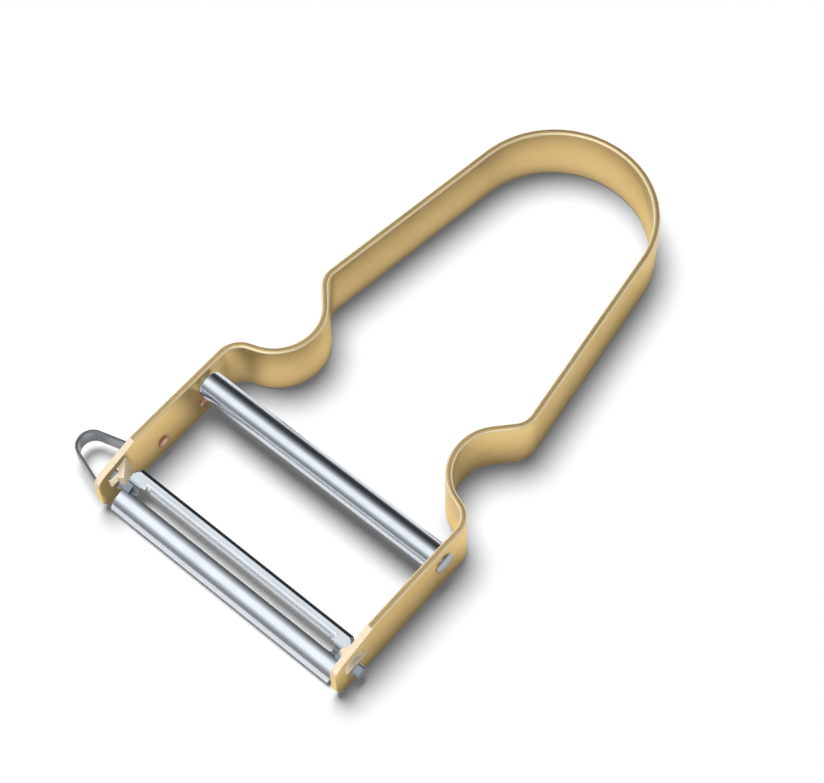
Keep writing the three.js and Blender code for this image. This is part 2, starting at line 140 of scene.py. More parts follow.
# Brightness of the sky at degrees from the horizon in front, over the top, to the horizon behind
SKY_ARCH = (
    (0, 0.28), (22, 0.32), (37, 0.70), (51, 1.25), (83, 1.25), (92, 0.86), (104, 0.45),
    (117, 0.20), (129, 0.08), (141, 0.04), (159, 0.04), (170, 0.12), (180, 0.28),
)
SKY_TINT = (0.985, 1.0, 1.015)

# Across the sky: where the arch lies, how far from there it fades, and where left turns into right
ARCH_X = -0.3
ARCH_FADE = (0.25, 0.6)
SIDE_FADE = (-0.1, 0.5)


# Kinds of settings


def length(name, description, millimetres):
    """A length that a user would change, with its default in millimetres."""
    return FloatProperty(
        name=name, description=description, default=millimetres * MM, unit="LENGTH", precision=5
    )


def angle(name, description, degrees):
    """An angle that a user would change, with its default in degrees."""
    return FloatProperty(
        name=name, description=description, default=math.radians(degrees), unit="ROTATION"
    )


def colour(name, description, value):
    """A colour that a user would change."""
    return FloatVectorProperty(
        name=name, description=description, default=value, subtype="COLOR", min=0.0, max=1.0
    )


def direction(name, description, value):
    """A direction that a user would change."""
    return FloatVectorProperty(name=name, description=description, default=value, subtype="DIRECTION")


def share(name, description, value, top=1.0):
    """A plain number between nothing and a top value."""
    return FloatProperty(name=name, description=description, default=value, min=0.0, max=top)


# Settings


class StripSizes(bpy.types.PropertyGroup):
    """Sizes of the bent handle strip. Former radii are those of its middle line."""

    width: length("Width", "Width of the strip, which stands on edge", STRIP_HIGH.z / MM)
    thickness: length("Thickness", "Thickness of the strip", 1.25)
    edge_radius: length("Edge radius", "Rounding of the strip's rolled edges", 0.43)
    hollow: length("Hollow", "Depth of the soft hollow along the strip's inner face", 0.9)
    hollow_fade: length("Hollow fade", "Length over which the hollow fades at each end", 8.0)
    arm_bend_radius: length("Arm bend", "Radius of the bend behind each arm", 4.5)
    neck_half_width: length("Neck half width", "From the middle to the neck's middle line", 17.3)
    neck_radius: length("Neck radius", "Radius of the neck's bend", 9.0)
    neck_y: length("Neck centre", "Place of the neck's bend along the handle", 40.6)
    neck_run_front: length("Neck run front", "Straight between the arm's bend and the neck", 1.4)
    neck_run_back: length("Neck run back", "Straight between the neck and the shoulder", 4.0)
    shoulder_radius: length("Shoulder radius", "Radius of the bend behind the neck", 4.4)
    shoulder_x: length("Shoulder centre", "From the middle to the shoulder bend's centre", 19.2)
    end_radius: length("End radius", "Radius of the round end", 18.6)
    end_y: length("End centre", "Place of the round end's centre along the handle", 88.9)
    join_y: length("Arm length", "Where the flat arm runs into the bent strip", 26.0)


class ArmEndSizes(bpy.types.PropertyGroup):
    """Sizes of the two arm ends, with their noses, trimmed edges, holes and stop tongues."""

    nose_reach: length("Nose reach", "From the swivel axis to the tip of the nose", 5.15)
    nose_top_radius: length("Nose top radius", "Rounding at the nose's top", 2.2)
    nose_bottom_radius: length("Nose bottom radius", "Rounding at the nose's bottom", 3.5)
    nose_edge_radius: length("Nose edge radius", "Rounding of the nose's edges", 0.2)
    trim_start_y: length("Trim start", "Where the trimmed top edge begins", 4.6)
    trim_step: length("Trim step", "Depth of the step where the trim begins", 0.35)
    trim_front_height: length("Trim front height", "Height of the trimmed edge at the nose", 10.25)
    cut_edge_radius: length("Cut edge radius", "Breaking of sharp cut edges", 0.07)
    pivot_hole: length("Pivot hole", "Diameter of the blade's swivel hole", 2.8)
    stop_rear_y: length("Stop root", "Place of the top of the stop's root", 1.9)
    stop_root_lean: length("Stop root lean", "How far the root leans back at its foot", 1.0)
    stop_length: length("Stop length", "Length of the stop's tongue", 3.4)
    stop_angle: angle("Stop angle", "How far the tongue is pressed inward", 33.0)
    stop_bend_radius: length("Stop bend radius", "Radius of the bend at the tongue's root", 0.9)
    stop_front_height: length("Stop front height", "Height of the tongue at its front", 2.8)
    stop_top_wall: length("Stop top wall", "Metal left above the tongue", 1.5)
    stop_bottom_wall: length("Stop bottom wall", "Metal left between tongue and hole", 0.5)
    stop_slit: length("Stop slit", "Width of the cut round the tongue", 0.25)
    stop_mouth: length("Stop mouth", "Opening in front of the tongue", 1.1)
    stop_corner_radius: length("Stop corners", "Rounding of the tongue's corners", 0.4)


class BarSizes(bpy.types.PropertyGroup):
    """Sizes of the cross bar and its peened heads."""

    diameter: length("Diameter", "Diameter of the bar", (BAR_HIGH.z - BAR_LOW.z) / MM)
    tenon_diameter: length("Tenon", "Diameter of the tenon through the arm", 3.2)
    head_diameter: length("Head diameter", "Diameter of the peened head", 4.2)
    head_height: length("Head height", "Height of the peened head", 0.6)
    edge_break: length("Edge break", "Rounding of the bar's shoulder", 0.25)
    seat_gap: length("Seat gap", "Clearance between the bar's faces and the arm", 0.12)


class LoopSizes(bpy.types.PropertyGroup):
    """Sizes of the eye remover's bent strip."""

    thickness: length("Thickness", "Thickness of the loop's strip", 0.55)
    height: length("Height", "Height of the loop's strip", (LOOP_HIGH.z - LOOP_LOW.z) / MM)
    edge_radius: length("Edge radius", "Rounding of the strip's edges", 0.12)
    reach: length("Reach", "From the arm's outside to the loop's tip", 10.39)
    tip_radius: length("Tip radius", "Radius of the loop's tip", 2.8)
    tip_y: length("Tip centre", "Place of the tip along the arm", 1.25)
    rear_bend_y: length("Rear bend", "Place of the bend from the tail", 7.1)
    rear_bend_radius: length("Rear bend radius", "Radius of the bend from the tail", 1.2)
    front_bend_y: length("Front bend", "Place of the bend to the foot", -2.6)
    front_bend_radius: length("Front bend radius", "Radius of the bend to the foot", 0.9)
    foot_length: length("Foot length", "Straight foot against the arm", 0.6)
    seat_gap: length("Seat gap", "Clearance between the tail and the arm", 0.12)


class RivetSizes(bpy.types.PropertyGroup):
    """Sizes of the two loop rivets."""

    front_y: length("Front rivet", "Place of the front rivet along the arm", 10.5)
    pitch: length("Pitch", "Distance between the rivets", 10.7)
    shank_diameter: length("Shank", "Diameter of the shank", 1.6)
    head_diameter: length("Head diameter", "Diameter of a head", (RIVET_HIGH.z - RIVET_LOW.z) / MM)
    head_height: length("Head height", "Height of a head", 0.55)
    hole_gap: length("Hole gap", "Clearance round the shank", 0.15)
    count: IntProperty(name="Count", description="Rivets along the tail", default=2, min=1)


class BladeSizes(bpy.types.PropertyGroup):
    """Sizes of the swivel blade in its own level frame, measured from the swivel axis."""

    rest_tilt: angle("Rest tilt", "Turn of the blade as it lies at rest", 26.0)
    side_gap: length("Side gap", "Room between a blade end and the arm", 1.2)
    side_shift: length("Side shift", "How far the blade lies over in its side play", -0.4)
    thickness: length("Thickness", "Thickness of the sheet", 0.75)
    rise: length("Rise", "Height of the sheet's middle above the axis", 0.35)
    slot_width: length("Slot width", "Width of the slot", 1.96)
    slot_centre: length("Slot centre", "From the axis to the slot's middle", 0.42)
    slot_end_land: length("Slot end land", "Metal left at each end of the slot", 2.6)
    slot_corner_radius: length("Slot corners", "Rounding of the slot's corners", 0.6)
    rear_lip: length("Rear lip", "Width of the rear lip", 2.65)
    slot_edge_radius: length("Slot edge radius", "Breaking of the slot's edges", 0.018)
    rear_corner_cut: length("Rear corner cut", "Size of the cut rear corners", 0.9)
    rear_corner_radius: length("Rear corners", "Rounding of the cut rear corners", 0.15)
    front_corner_radius: length("Front corners", "Rounding of the front lip's corners", 0.4)
    grind_width: length("Grind width", "Width of the ground bevel", 1.35)
    grind_land: length("Grind land", "Width of the gentle lands above and below the bevel", 0.35)
    grind_land_depth: length("Grind land depth", "Fall of each gentle land", 0.035)
    grind_end_land: length("Grind end land", "From the slot's end to the end of the grind", 0.9)
    grind_run_out: length("Grind run-out", "Length over which the grind fades at its ends", 0.8)
    cutting_edge: length("Cutting edge", "Thickness left at the cutting edge", 0.15)
    rear_break: length("Rear break", "Width of the edge break along the rear lip", 0.45)
    lip_drop: length("Front lip drop", "How far the front lip starts below the rear lip", 0.6)
    lip_radius: length("Front lip radius", "Radius of the rounded front lip", 2.93)
    lip_start: angle("Front lip start", "Lean of the front lip at the slot", 40.0)
    lip_end: angle("Front lip end", "Lean of the front lip at its edge", -49.0)
    edge_radius: length("Edge radius", "Breaking of the blade's edges", 0.06)
    tang_width: length("Tang width", "Width of a tang", 2.2)
    tang_thickness: length("Tang thickness", "Thickness of a tang", 1.2)
    tang_corner_radius: length("Tang corners", "Rounding of the tang's corners", 0.4)
    tang_edge_radius: length("Tang edge radius", "Rounding of the tang's end", 0.12)
    tang_root: length("Tang root", "Length of tang under the blade's end", 1.4)
    tang_standout: length("Tang standout", "How far a tang passes the arm's outside", 1.7)


class Finishes(bpy.types.PropertyGroup):
    """Colours and roughness of the finishes."""

    gold: colour("Gold", "Anodised strip", (0.91, 0.655, 0.30))
    gold_deep: colour("Deep gold", "Darker clouds in the anodised strip", (0.85, 0.60, 0.26))
    # The corner and edge colours are a lighter and a darker copy of the gold: a painted highlight on the
    # corners of the narrow edges and painted shade on their flats
    corner: colour("Rubbed corner", "Highlighted corners of the strip's edges", (0.95, 0.78, 0.50))
    edge: colour("Rolled edge", "Flat of the strip's narrow edges", (0.82, 0.60, 0.29))
    # The cut edges' pale cream colour is a painted highlight
    cut_edge: colour("Cut edge", "Brightened metal of the strip's trimmed edges", (0.87, 0.73, 0.53))
    polished: colour("Polished steel", "Cross bar", (0.70, 0.75, 0.80))
    # The peened heads' darker colour is painted shade; their peened finish shows in their roughness
    peened: colour("Peened steel", "Cross bar's peened heads", (0.44, 0.46, 0.49))
    blade: colour("Blade steel", "Blade's faces", (0.60, 0.64, 0.68))
    ground: colour("Ground steel", "Blade's ground bevel", (0.86, 0.89, 0.91))
    # The front lip's colour is a lighter copy of the blade steel, a painted highlight
    lip: colour("Lip steel", "Blade's front lip painted lighter", (0.74, 0.78, 0.83))
    # Tang steel is darker than the blade steel, partly as the tangs' own steel and partly as painted shade;
    # on the slot's end lands it is painted shade alone
    tang: colour("Tang steel", "Blade's tangs and end lands", (0.28, 0.32, 0.36))
    # The sheared edge's near-black colour is painted shade
    sheared: colour("Sheared steel", "Blade's sheared rear edge", (0.035, 0.04, 0.045))
    loop: colour("Loop steel", "Eye remover", (0.27, 0.29, 0.31))
    copper: colour("Copper", "Loop rivets", (0.74, 0.41, 0.28))
    gold_roughness: share("Gold roughness", "Roughness of the strip", 0.33)
    polish_roughness: share("Polish roughness", "Roughness of the bar", 0.18)
    peened_roughness: share("Peened roughness", "Roughness of the bar's heads", 0.32)
    blade_roughness: share("Blade roughness", "Roughness of the blade", 0.17)
    tang_roughness: share("Tang roughness", "Roughness of the blade's tangs", 0.34)
    sheared_roughness: share("Sheared roughness", "Roughness of the blade's sheared edge", 0.45)
    edge_roughness: share("Edge roughness", "Roughness of the strip's narrow edges", 0.4)
    cut_roughness: share("Cut roughness", "Roughness of the strip's trimmed edges", 0.42)
    loop_roughness: share("Loop roughness", "Roughness of the eye remover", 0.3)
    copper_roughness: share("Copper roughness", "Roughness of the rivets", 0.38)


class StageSettings(bpy.types.PropertyGroup):
    """Camera, light and floor."""

    azimuth: angle("Azimuth", "Camera's turn round the peeler", 42.357)
    elevation: angle("Elevation", "Camera's height above the horizon", 60.891)
    roll: angle("Roll", "Camera's roll", -2.185)
    distance: length("Distance", "From the camera to the point that it turns round", 406.37)
    target_x: length("Target across", "Aim point across the peeler", -0.912)
    target_y: length("Target along", "Aim point along the peeler, from the swivel axis", 48.526)
    lens: FloatProperty(name="Lens", description="Focal length", default=96.83, unit="CAMERA")
    key_strength: share("Key strength", "Strength of the soft key light", 3.1, top=20.0)
    key_spread: angle("Key spread", "Angular width of the soft key light", 32.0)
    key_way: direction("Key direction", "From the peeler to the key light", (-0.27, 0.10, 0.96))
    fill_strength: share("Fill strength", "Strength of the overhead fill light", 0.45, top=20.0)
    gloss_strength: share("Gloss strength", "Strength of the low front light on gold", 3.0, top=20.0)
    gloss_spread: angle("Gloss spread", "Angular width of the low front light", 80.0)
    gloss_way: direction("Gloss direction", "From the peeler to the low front light", (0.26, -0.93, 0.25))
    side_level: share("Side level", "Brightness of the sky at the left, as metal mirrors it", 0.62)
    right_level: share("Right level", "Brightness of the sky at the right, as metal mirrors it", 0.25)
    floor: colour("Floor", "Colour of the floor", (0.93, 0.93, 0.93))
    floor_roughness: share("Floor roughness", "Roughness of the floor", 0.9)
    floor_glow: share("Floor glow", "Share of plain white in the floor that metal mirrors", 0.05)
    floor_size: length("Floor size", "Width of the floor", 6000.0)


SETTINGS = {
    "peeler_strip": StripSizes,
    "peeler_arm_end": ArmEndSizes,
    "peeler_bar": BarSizes,
    "peeler_loop": LoopSizes,
    "peeler_rivet": RivetSizes,
    "peeler_blade": BladeSizes,
    "peeler_finish": Finishes,
    "peeler_stage": StageSettings,
}


def in_frame(x, y, z):
    """Point of the working frame as a point of the CAD frame."""
    return Vector((PIVOT.x + x, PIVOT.y + y, z))


def arm_middle(strip):
    """From the middle to the middle plane of an arm."""
    return ARM_OUTSIDE - strip.thickness / 2


# Plane outlines


def even(first, last, count):
    """Numbers at even steps from first to last, both included."""
    return [first + (last - first) * i / count for i in range(count + 1)]


def arc_points(centre, radius, start, turn, step):
    """Points along an arc, both ends included."""
    count = max(2, math.ceil(abs(turn) / step))
    ways = even(start, start + turn, count)
    return [centre + radius * Vector((math.cos(way), math.sin(way))) for way in ways]


def filleted(corners, step=CORNER_STEP):
    """Outline through (point, radius) corners, each rounded by an arc of its radius."""
    points = []
    for i, (at, radius) in enumerate(corners):
        if radius == 0:
            points.append(at.copy())
            continue
        before = (corners[i - 1][0] - at).normalized()
        after = (corners[(i + 1) % len(corners)][0] - at).normalized()
        half = before.angle(after) / 2
        centre = at + (before + after).normalized() * (radius / math.sin(half))
        first = at + before * (radius / math.tan(half)) - centre
        last = at + after * (radius / math.tan(half)) - centre
        start = math.atan2(first.y, first.x)
        turn = math.remainder(math.atan2(last.y, last.x) - start, 2 * math.pi)
        points += arc_points(centre, radius, start, turn, step)
    return points


def circle(y, z, diameter):
    """Clockwise circle, as a hole's outline."""
    turns = [-2 * math.pi * i / HOLE_POINTS for i in range(HOLE_POINTS)]
    return [Vector((y, z)) + diameter / 2 * Vector((math.cos(t), math.sin(t))) for t in turns]


def divided(points, most):
    """Closed outline with its long straights divided."""
    found = []
    for i, point in enumerate(points):
        after = points[(i + 1) % len(points)]
        count = max(1, math.ceil((after - point).length / most))
        found += [point.lerp(after, k / count) for k in range(count)]
    return found


def inward_normals(points, closed):
    """Mitred normals on the left of a line of points."""
    normals = []
    last = len(points) - 1
    for i, point in enumerate(points):
        ways = []
        if closed or i > 0:
            ways.append((point - points[i - 1]).normalized())
        if closed or i < last:
            ways.append((points[(i + 1) % len(points)] - point).normalized())
        lefts = [Vector((-way.y, way.x)) for way in ways]
        middle = sum(lefts, Vector((0.0, 0.0))).normalized()
        normals.append(middle / max(middle.dot(lefts[0]), MITRE_LIMIT))
    return normals


def holds(points, place):
    """Whether a closed outline holds a place."""
    inside = False
    for i, b in enumerate(points):
        a = points[i - 1]
        if (a.y > place.y) != (b.y > place.y):
            if place.x < a.x + (b.x - a.x) * (place.y - a.y) / (b.y - a.y):
                inside = not inside
    return inside


class Outline:
    """Edge of a plate: points with metal on their left, each with its edge radius and finish.

    Its rim is where the rounding of the edge meets the plate's faces.
    """

    def __init__(self, points, radius, finish=0, closed=True):
        self.points = points
        self.radii = radius if isinstance(radius, list) else [radius] * len(points)
        self.finishes = finish if isinstance(finish, list) else [finish] * len(points)
        self.closed = closed
        self.normals = inward_normals(points, closed)
        self.rim = [p + n * r for p, n, r in zip(points, self.normals, self.radii)]

    def ring(self, bm, turn, side, face, place):
        """Vertices round the edge at one turn of its rounding.

        Side is 1 for the upper face and -1 for the lower one, and face gives that face's depth at a point.
        """
        verts = []
        for point, normal, radius in zip(self.points, self.normals, self.radii):
            at = point + normal * (radius * (1 - math.cos(turn)))
            depth = face(at) - side * radius * (1 - math.sin(turn))
            verts.append(bm.verts.new(place(at, depth)))
        return verts


# Solids


def add_bands(bm, rings, finishes, closed=True):
    """Adds the faces between neighbouring rings of vertices."""
    count = len(finishes)
    for low, high in zip(rings, rings[1:]):
        for i in range(count if closed else count - 1):
            j = (i + 1) % count
            face = bm.faces.new((low[i], low[j], high[j], high[i]))
            face.material_index = finishes[i]


def add_plate(bm, outlines, lines, half, place, upper=None, upper_finish=None):
    """Adds a plate with rounded edges to a mesh.

    The first outline is the outer edge and the rest are holes. Lines are runs of points that the two
    faces are divided along. Place maps a point of the plate and a depth to the CAD frame, and upper
    gives the depth of the upper face where that isn't half the thickness. Upper finish gives the finish
    of a point of the upper face.
    """

    def lower(point):
        """Depth of the lower face, the same at every point."""
        return -half

    upper = upper or (lambda point: half)
    turns = even(0.0, math.pi / 2, EDGE_ROWS)
    flat, limits, caps = [], [], {}
    for outline in outlines:
        rings = [outline.ring(bm, turn, -1, lower, place) for turn in reversed(turns)]
        rings += [outline.ring(bm, turn, 1, upper, place) for turn in turns]
        add_bands(bm, rings, outline.finishes, outline.closed)
        first, count = len(flat), len(outline.rim)
        for i, point in enumerate(outline.rim):
            caps[first + i] = (rings[0][i], rings[-1][i])
            limits.append((first + i, first + (i + 1) % count))
            flat.append(point)
    for line in lines:
        first = len(flat)
        flat += line
        limits += [(first + i, first + i + 1) for i in range(len(line) - 1)]

    places, _, faces, sources, _, _ = delaunay_2d_cdt(flat, limits, [], WITHIN_LIMITS, SAME_POINT)
    pairs = []
    for point, source in zip(places, sources):
        known = next((caps[i] for i in source if i in caps), None)
        if known is None:
            known = [bm.verts.new(place(point, face(point))) for face in (lower, upper)]
        pairs.append(known)
    outer, *holes = [outline.rim for outline in outlines]
    for face in faces:
        middle = sum((places[i] for i in face), Vector((0.0, 0.0))) / len(face)
        if holds(outer, middle) and not any(holds(hole, middle) for hole in holes):
            top = bm.faces.new([pairs[i][1] for i in face])
            top.material_index = upper_finish(middle) if upper_finish else 0
            bm.faces.new([pairs[i][0] for i in reversed(face)])


def add_lathe(bm, profile, segments):
    """Adds a solid turned about X through (x, radius) points; a radius of 0 is a pole."""
    rings = []
    turns = [2 * math.pi * i / segments for i in range(segments)]
    for x, radius in profile:
        if radius == 0:
            rings.append([bm.verts.new((x, 0, 0))])
        else:
            rings.append([bm.verts.new((x, radius * math.cos(t), radius * math.sin(t))) for t in turns])
    for low, high in zip(rings, rings[1:]):
        for i in range(segments):
            j = (i + 1) % segments
            corners = [low[i % len(low)], low[j % len(low)], high[j % len(high)], high[i % len(high)]]
            bm.faces.new(list(dict.fromkeys(corners)))


def dome(radius, height, base, way):
    """Profile of a low head from its rim to its crown, as (x, radius) points."""
    turns = even(0.0, math.pi / 2, DOME_ROWS)
    points = [(base + way * height * math.sin(t), radius * math.cos(t)) for t in turns[:-1]]
    return points + [(base + way * height, 0)]


def rounded_shoulder(x, radius, size):
    """Profile of a turned edge's rounding, from the bar's side to its end face."""
    turns = even(0.0, math.pi / 2, SHOULDER_ROWS)
    return [(x - size * (1 - math.sin(t)), radius - size * (1 - math.cos(t))) for t in turns]


# Bent strips


def bent_line(start, heading, formers, end_heading, tail):
    """Points of a line that leaves start, is bent round each (centre, radius) former and runs on.

    A former's radius is negative for a right-hand bend.
    """
    points = [start]
    at = heading
    for i, (centre, radius) in enumerate(formers):
        leave = end_heading
        if i + 1 < len(formers):
            span = formers[i + 1][0] - centre
            rise = math.asin((formers[i + 1][1] - radius) / span.length)
            leave = math.atan2(span.y, span.x) - rise
        sign = math.copysign(1, radius)
        turn = sign * ((sign * (leave - at)) % (2 * math.pi))
        points += arc_points(centre, radius, at - math.pi / 2, turn, BEND_STEP)
        at += turn
    points.append(points[-1] + tail * Vector((math.cos(at), math.sin(at))))
    return points


def handle_line(strip):
    """Middle line of the bent part of the handle, from the right arm round to the left one."""
    arm_x = arm_middle(strip)
    neck_x = strip.neck_half_width + strip.neck_radius
    bend_x = arm_x - strip.arm_bend_radius
    front = math.hypot(strip.neck_radius + strip.arm_bend_radius, strip.neck_run_front)
    back = math.hypot(strip.neck_radius + strip.shoulder_radius, strip.neck_run_back)
    bend_y = strip.neck_y - math.sqrt(front**2 - (neck_x - bend_x) ** 2)
    shoulder_y = strip.neck_y + math.sqrt(back**2 - (neck_x - strip.shoulder_x) ** 2)
    right = [
        (Vector((bend_x, bend_y)), strip.arm_bend_radius),
        (Vector((neck_x, strip.neck_y)), -strip.neck_radius),
        (Vector((strip.shoulder_x, shoulder_y)), strip.shoulder_radius),
    ]
    left = [(Vector((-centre.x, centre.y)), radius) for centre, radius in reversed(right)]
    end = [(Vector((0.0, strip.end_y)), strip.end_radius)]
    start = Vector((arm_x, strip.join_y))
    tail = bend_y - strip.join_y
    return bent_line(start, math.pi / 2, right + end + left, -math.pi / 2, tail)


def loop_line(loop):
    """Middle line of the eye remover, from the end of its tail to its foot."""
    tail_x = -(ARM_OUTSIDE + loop.seat_gap + loop.thickness / 2)
    tip_x = -(ARM_OUTSIDE + loop.reach - loop.thickness / 2 - loop.tip_radius)
    formers = [
        (Vector((tail_x - loop.rear_bend_radius, loop.rear_bend_y)), -loop.rear_bend_radius),
        (Vector((tip_x, loop.tip_y)), loop.tip_radius),
        (Vector((tail_x - loop.front_bend_radius, loop.front_bend_y)), loop.front_bend_radius),
    ]
    start = Vector((tail_x, LOOP_HIGH.y - PIVOT.y))
    return bent_line(start, -math.pi / 2, formers, math.pi / 2, loop.foot_length)


# Node trees


class Nodes:
    """Node tree whose nodes are made together with what goes into their sockets."""

    def __init__(self, tree):
        self.tree = tree

    def feed(self, socket, value):
        """Links a socket from another one, or sets its value."""
        if isinstance(value, bpy.types.NodeSocket):
            self.tree.links.new(value, socket)
        else:
            socket.default_value = value

    def node(self, kind, settings=None, **values):
        """Outputs of a new node, with its settings made and its inputs fed by name."""
        made = self.tree.nodes.new(kind)
        for name, value in (settings or {}).items():
            setattr(made, name, value)
        for name, value in values.items():
            self.feed(made.inputs[name.replace("_", " ")], value)
        return made.outputs

    def calc(self, operation, *values):
        """Result of a Math node on sockets or numbers."""
        made = self.tree.nodes.new("ShaderNodeMath")
        made.operation = operation
        for socket, value in zip(made.inputs, values):
            self.feed(socket, value)
        return made.outputs["Value"]

    def spread(self, value, start, end, low=0.0, high=1.0, kind="LINEAR"):
        """Value mapped from one range to another and held at its ends."""
        made = self.node("ShaderNodeMapRange", {"interpolation_type": kind}, Value=value,
                         From_Min=start, From_Max=end, To_Min=low, To_Max=high)
        return made["Result"]

    def between(self, factor, first, second):
        """Colour between two colours."""
        return self.node("ShaderNodeMix", {"data_type": "RGBA"}, Factor=factor, A=first, B=second)["Result"]


def geometry_nodes(name, inputs):
    """Nodes of a new Geometry Nodes tree, and the sockets that it is given."""
    tree = bpy.data.node_groups.new(name, "GeometryNodeTree")
    tree.interface.new_socket("Geometry", in_out="INPUT", socket_type="NodeSocketGeometry")
    for label, kind in inputs.items():
        tree.interface.new_socket(label, in_out="INPUT", socket_type=kind)
    tree.interface.new_socket("Geometry", in_out="OUTPUT", socket_type="NodeSocketGeometry")
    nodes = Nodes(tree)
    return nodes, nodes.node("NodeGroupInput")


def finished_tree(nodes, geometry, finish):
    """Tree that ends in Realize Instances and Set Material."""
    real = nodes.node("GeometryNodeRealizeInstances", Geometry=geometry)["Geometry"]
    painted = nodes.node("GeometryNodeSetMaterial", Geometry=real, Material=finish)["Geometry"]
    nodes.node("NodeGroupOutput", Geometry=painted)
    return nodes.tree


def strip_tree():
    """Tree that sweeps a rounded strip section along a level path.

    It keeps the distance along the path, and the place across the strip's thickness.
    """
    nodes, given = geometry_nodes("Strip along a path", {
        "Height": "NodeSocketFloat",
        "Thickness": "NodeSocketFloat",
        "Edge radius": "NodeSocketFloat",
        "Edge points": "NodeSocketInt",
        "Finish": "NodeSocketMaterial",
    })

    def keep(geometry, name, value):
        """Geometry with a value stored on its points."""
        settings = {"data_type": "FLOAT", "domain": "POINT"}
        kept = nodes.node("GeometryNodeStoreNamedAttribute", settings,
                          Geometry=geometry, Name=name, Value=value)
        return kept["Geometry"]

    upright = nodes.node("GeometryNodeSetCurveNormal", {"mode": "Z_UP"}, Curve=given["Geometry"])["Curve"]
    distance = nodes.node("GeometryNodeSplineParameter")["Length"]
    path = keep(upright, "along", distance)
    section = nodes.node("GeometryNodeCurvePrimitiveQuadrilateral",
                         Width=given["Thickness"], Height=given["Height"])["Curve"]
    rounded = nodes.node("GeometryNodeFilletCurve", {"mode": "POLY"}, Curve=section,
                         Count=given["Edge points"], Radius=given["Edge radius"])["Curve"]
    position = nodes.node("GeometryNodeInputPosition")["Position"]
    across = nodes.node("ShaderNodeSeparateXYZ", Vector=position)["X"]
    profile = keep(rounded, "across", across)
    swept = nodes.node("GeometryNodeCurveToMesh", Curve=path, Profile_Curve=profile, Fill_Caps=True)
    return finished_tree(nodes, swept["Mesh"], given["Finish"])


def rivet_tree():
    """Tree that sets a rivet at even steps along a line."""
    nodes, given = geometry_nodes("Rivets along a line", {
        "Rivet": "NodeSocketObject",
        "Count": "NodeSocketInt",
        "First": "NodeSocketVector",
        "Step": "NodeSocketVector",
        "Finish": "NodeSocketMaterial",
    })
    line = nodes.node("GeometryNodeMeshLine", Count=given["Count"],
                      Start_Location=given["First"], Offset=given["Step"])["Mesh"]
    rivet = nodes.node("GeometryNodeObjectInfo", Object=given["Rivet"])["Geometry"]
    copies = nodes.node("GeometryNodeInstanceOnPoints", Points=line, Instance=rivet)["Instances"]
    return finished_tree(nodes, copies, given["Finish"])


def evaluated_mesh(obj):
    """Plain mesh of an object with its modifiers applied."""
    bpy.context.view_layer.update()
    graph = bpy.context.evaluated_depsgraph_get()
    return bpy.data.meshes.new_from_object(obj.evaluated_get(graph), depsgraph=graph)


def made_by_tree(obj, tree, values):
    """Editable mesh of an object with a tree on it; the object is removed."""
    modifier = obj.modifiers.new(tree.name, "NODES")
    modifier.node_group = tree
    for item in tree.interface.items_tree:
        if item.in_out == "INPUT" and item.name in values:
            modifier[item.identifier] = values[item.name]
    mesh = evaluated_mesh(obj)
    bpy.data.objects.remove(obj)
    bm = bmesh.new()
    bm.from_mesh(mesh)
    bpy.data.meshes.remove(mesh)
    return bm


def swept_strip(line, middle_z, height, sizes, material):
    """Editable mesh of a strip swept along a line of the working frame."""
    data = bpy.data.curves.new("strip_path", "CURVE")
    data.dimensions = "3D"
    spline = data.splines.new("POLY")
    spline.points.add(len(line) - 1)
    for knot, point in zip(spline.points, line):
        knot.co = (*in_frame(point.x, point.y, middle_z), 1.0)
    path = bpy.data.objects.new("strip_path", data)
    bpy.context.scene.collection.objects.link(path)
    return made_by_tree(path, strip_tree(), {
        "Height": height,
        "Thickness": sizes.thickness,
        "Edge radius": sizes.edge_radius,
        "Edge points": STRIP_EDGE_POINTS,
        "Finish": material,
    })


# Finished pieces


def finish_mesh(bm, name, materials, sharp=SHARP):
    """Object of a closed mesh, smooth but for its sharp edges, with normals led by its flat faces."""
    bmesh.ops.remove_doubles(bm, verts=bm.verts, dist=WELD)
    bmesh.ops.recalc_face_normals(bm, faces=bm.faces)
    for face in bm.faces:
        face.smooth = True
    for edge in bm.edges:
        edge.smooth = len(edge.link_faces) != 2 or edge.calc_face_angle() < sharp
    mesh = bpy.data.meshes.new(name)
    bm.to_mesh(mesh)
    bm.free()
    for material in materials:
        mesh.materials.append(material)
    obj = bpy.data.objects.new(name, mesh)
    bpy.context.scene.collection.objects.link(obj)
    weighted = obj.modifiers.new("Flat faces lead", "WEIGHTED_NORMAL")
    weighted.keep_sharp = True
    obj.data = evaluated_mesh(obj)
    obj.modifiers.clear()
    bpy.data.meshes.remove(mesh)
    obj.data.name = name
    return obj


def hand_over(obj, body, slot, *nodes):
    """Puts a finished piece in the place of its CAD nodes."""
    obj.visible_diffuse = False
    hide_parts(*nodes)
    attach(obj, body)


# Materials


def rgba(tone, factor=1.0):
    """Colour times a factor, with full cover."""
    return (*(channel * factor for channel in tone), 1.0)


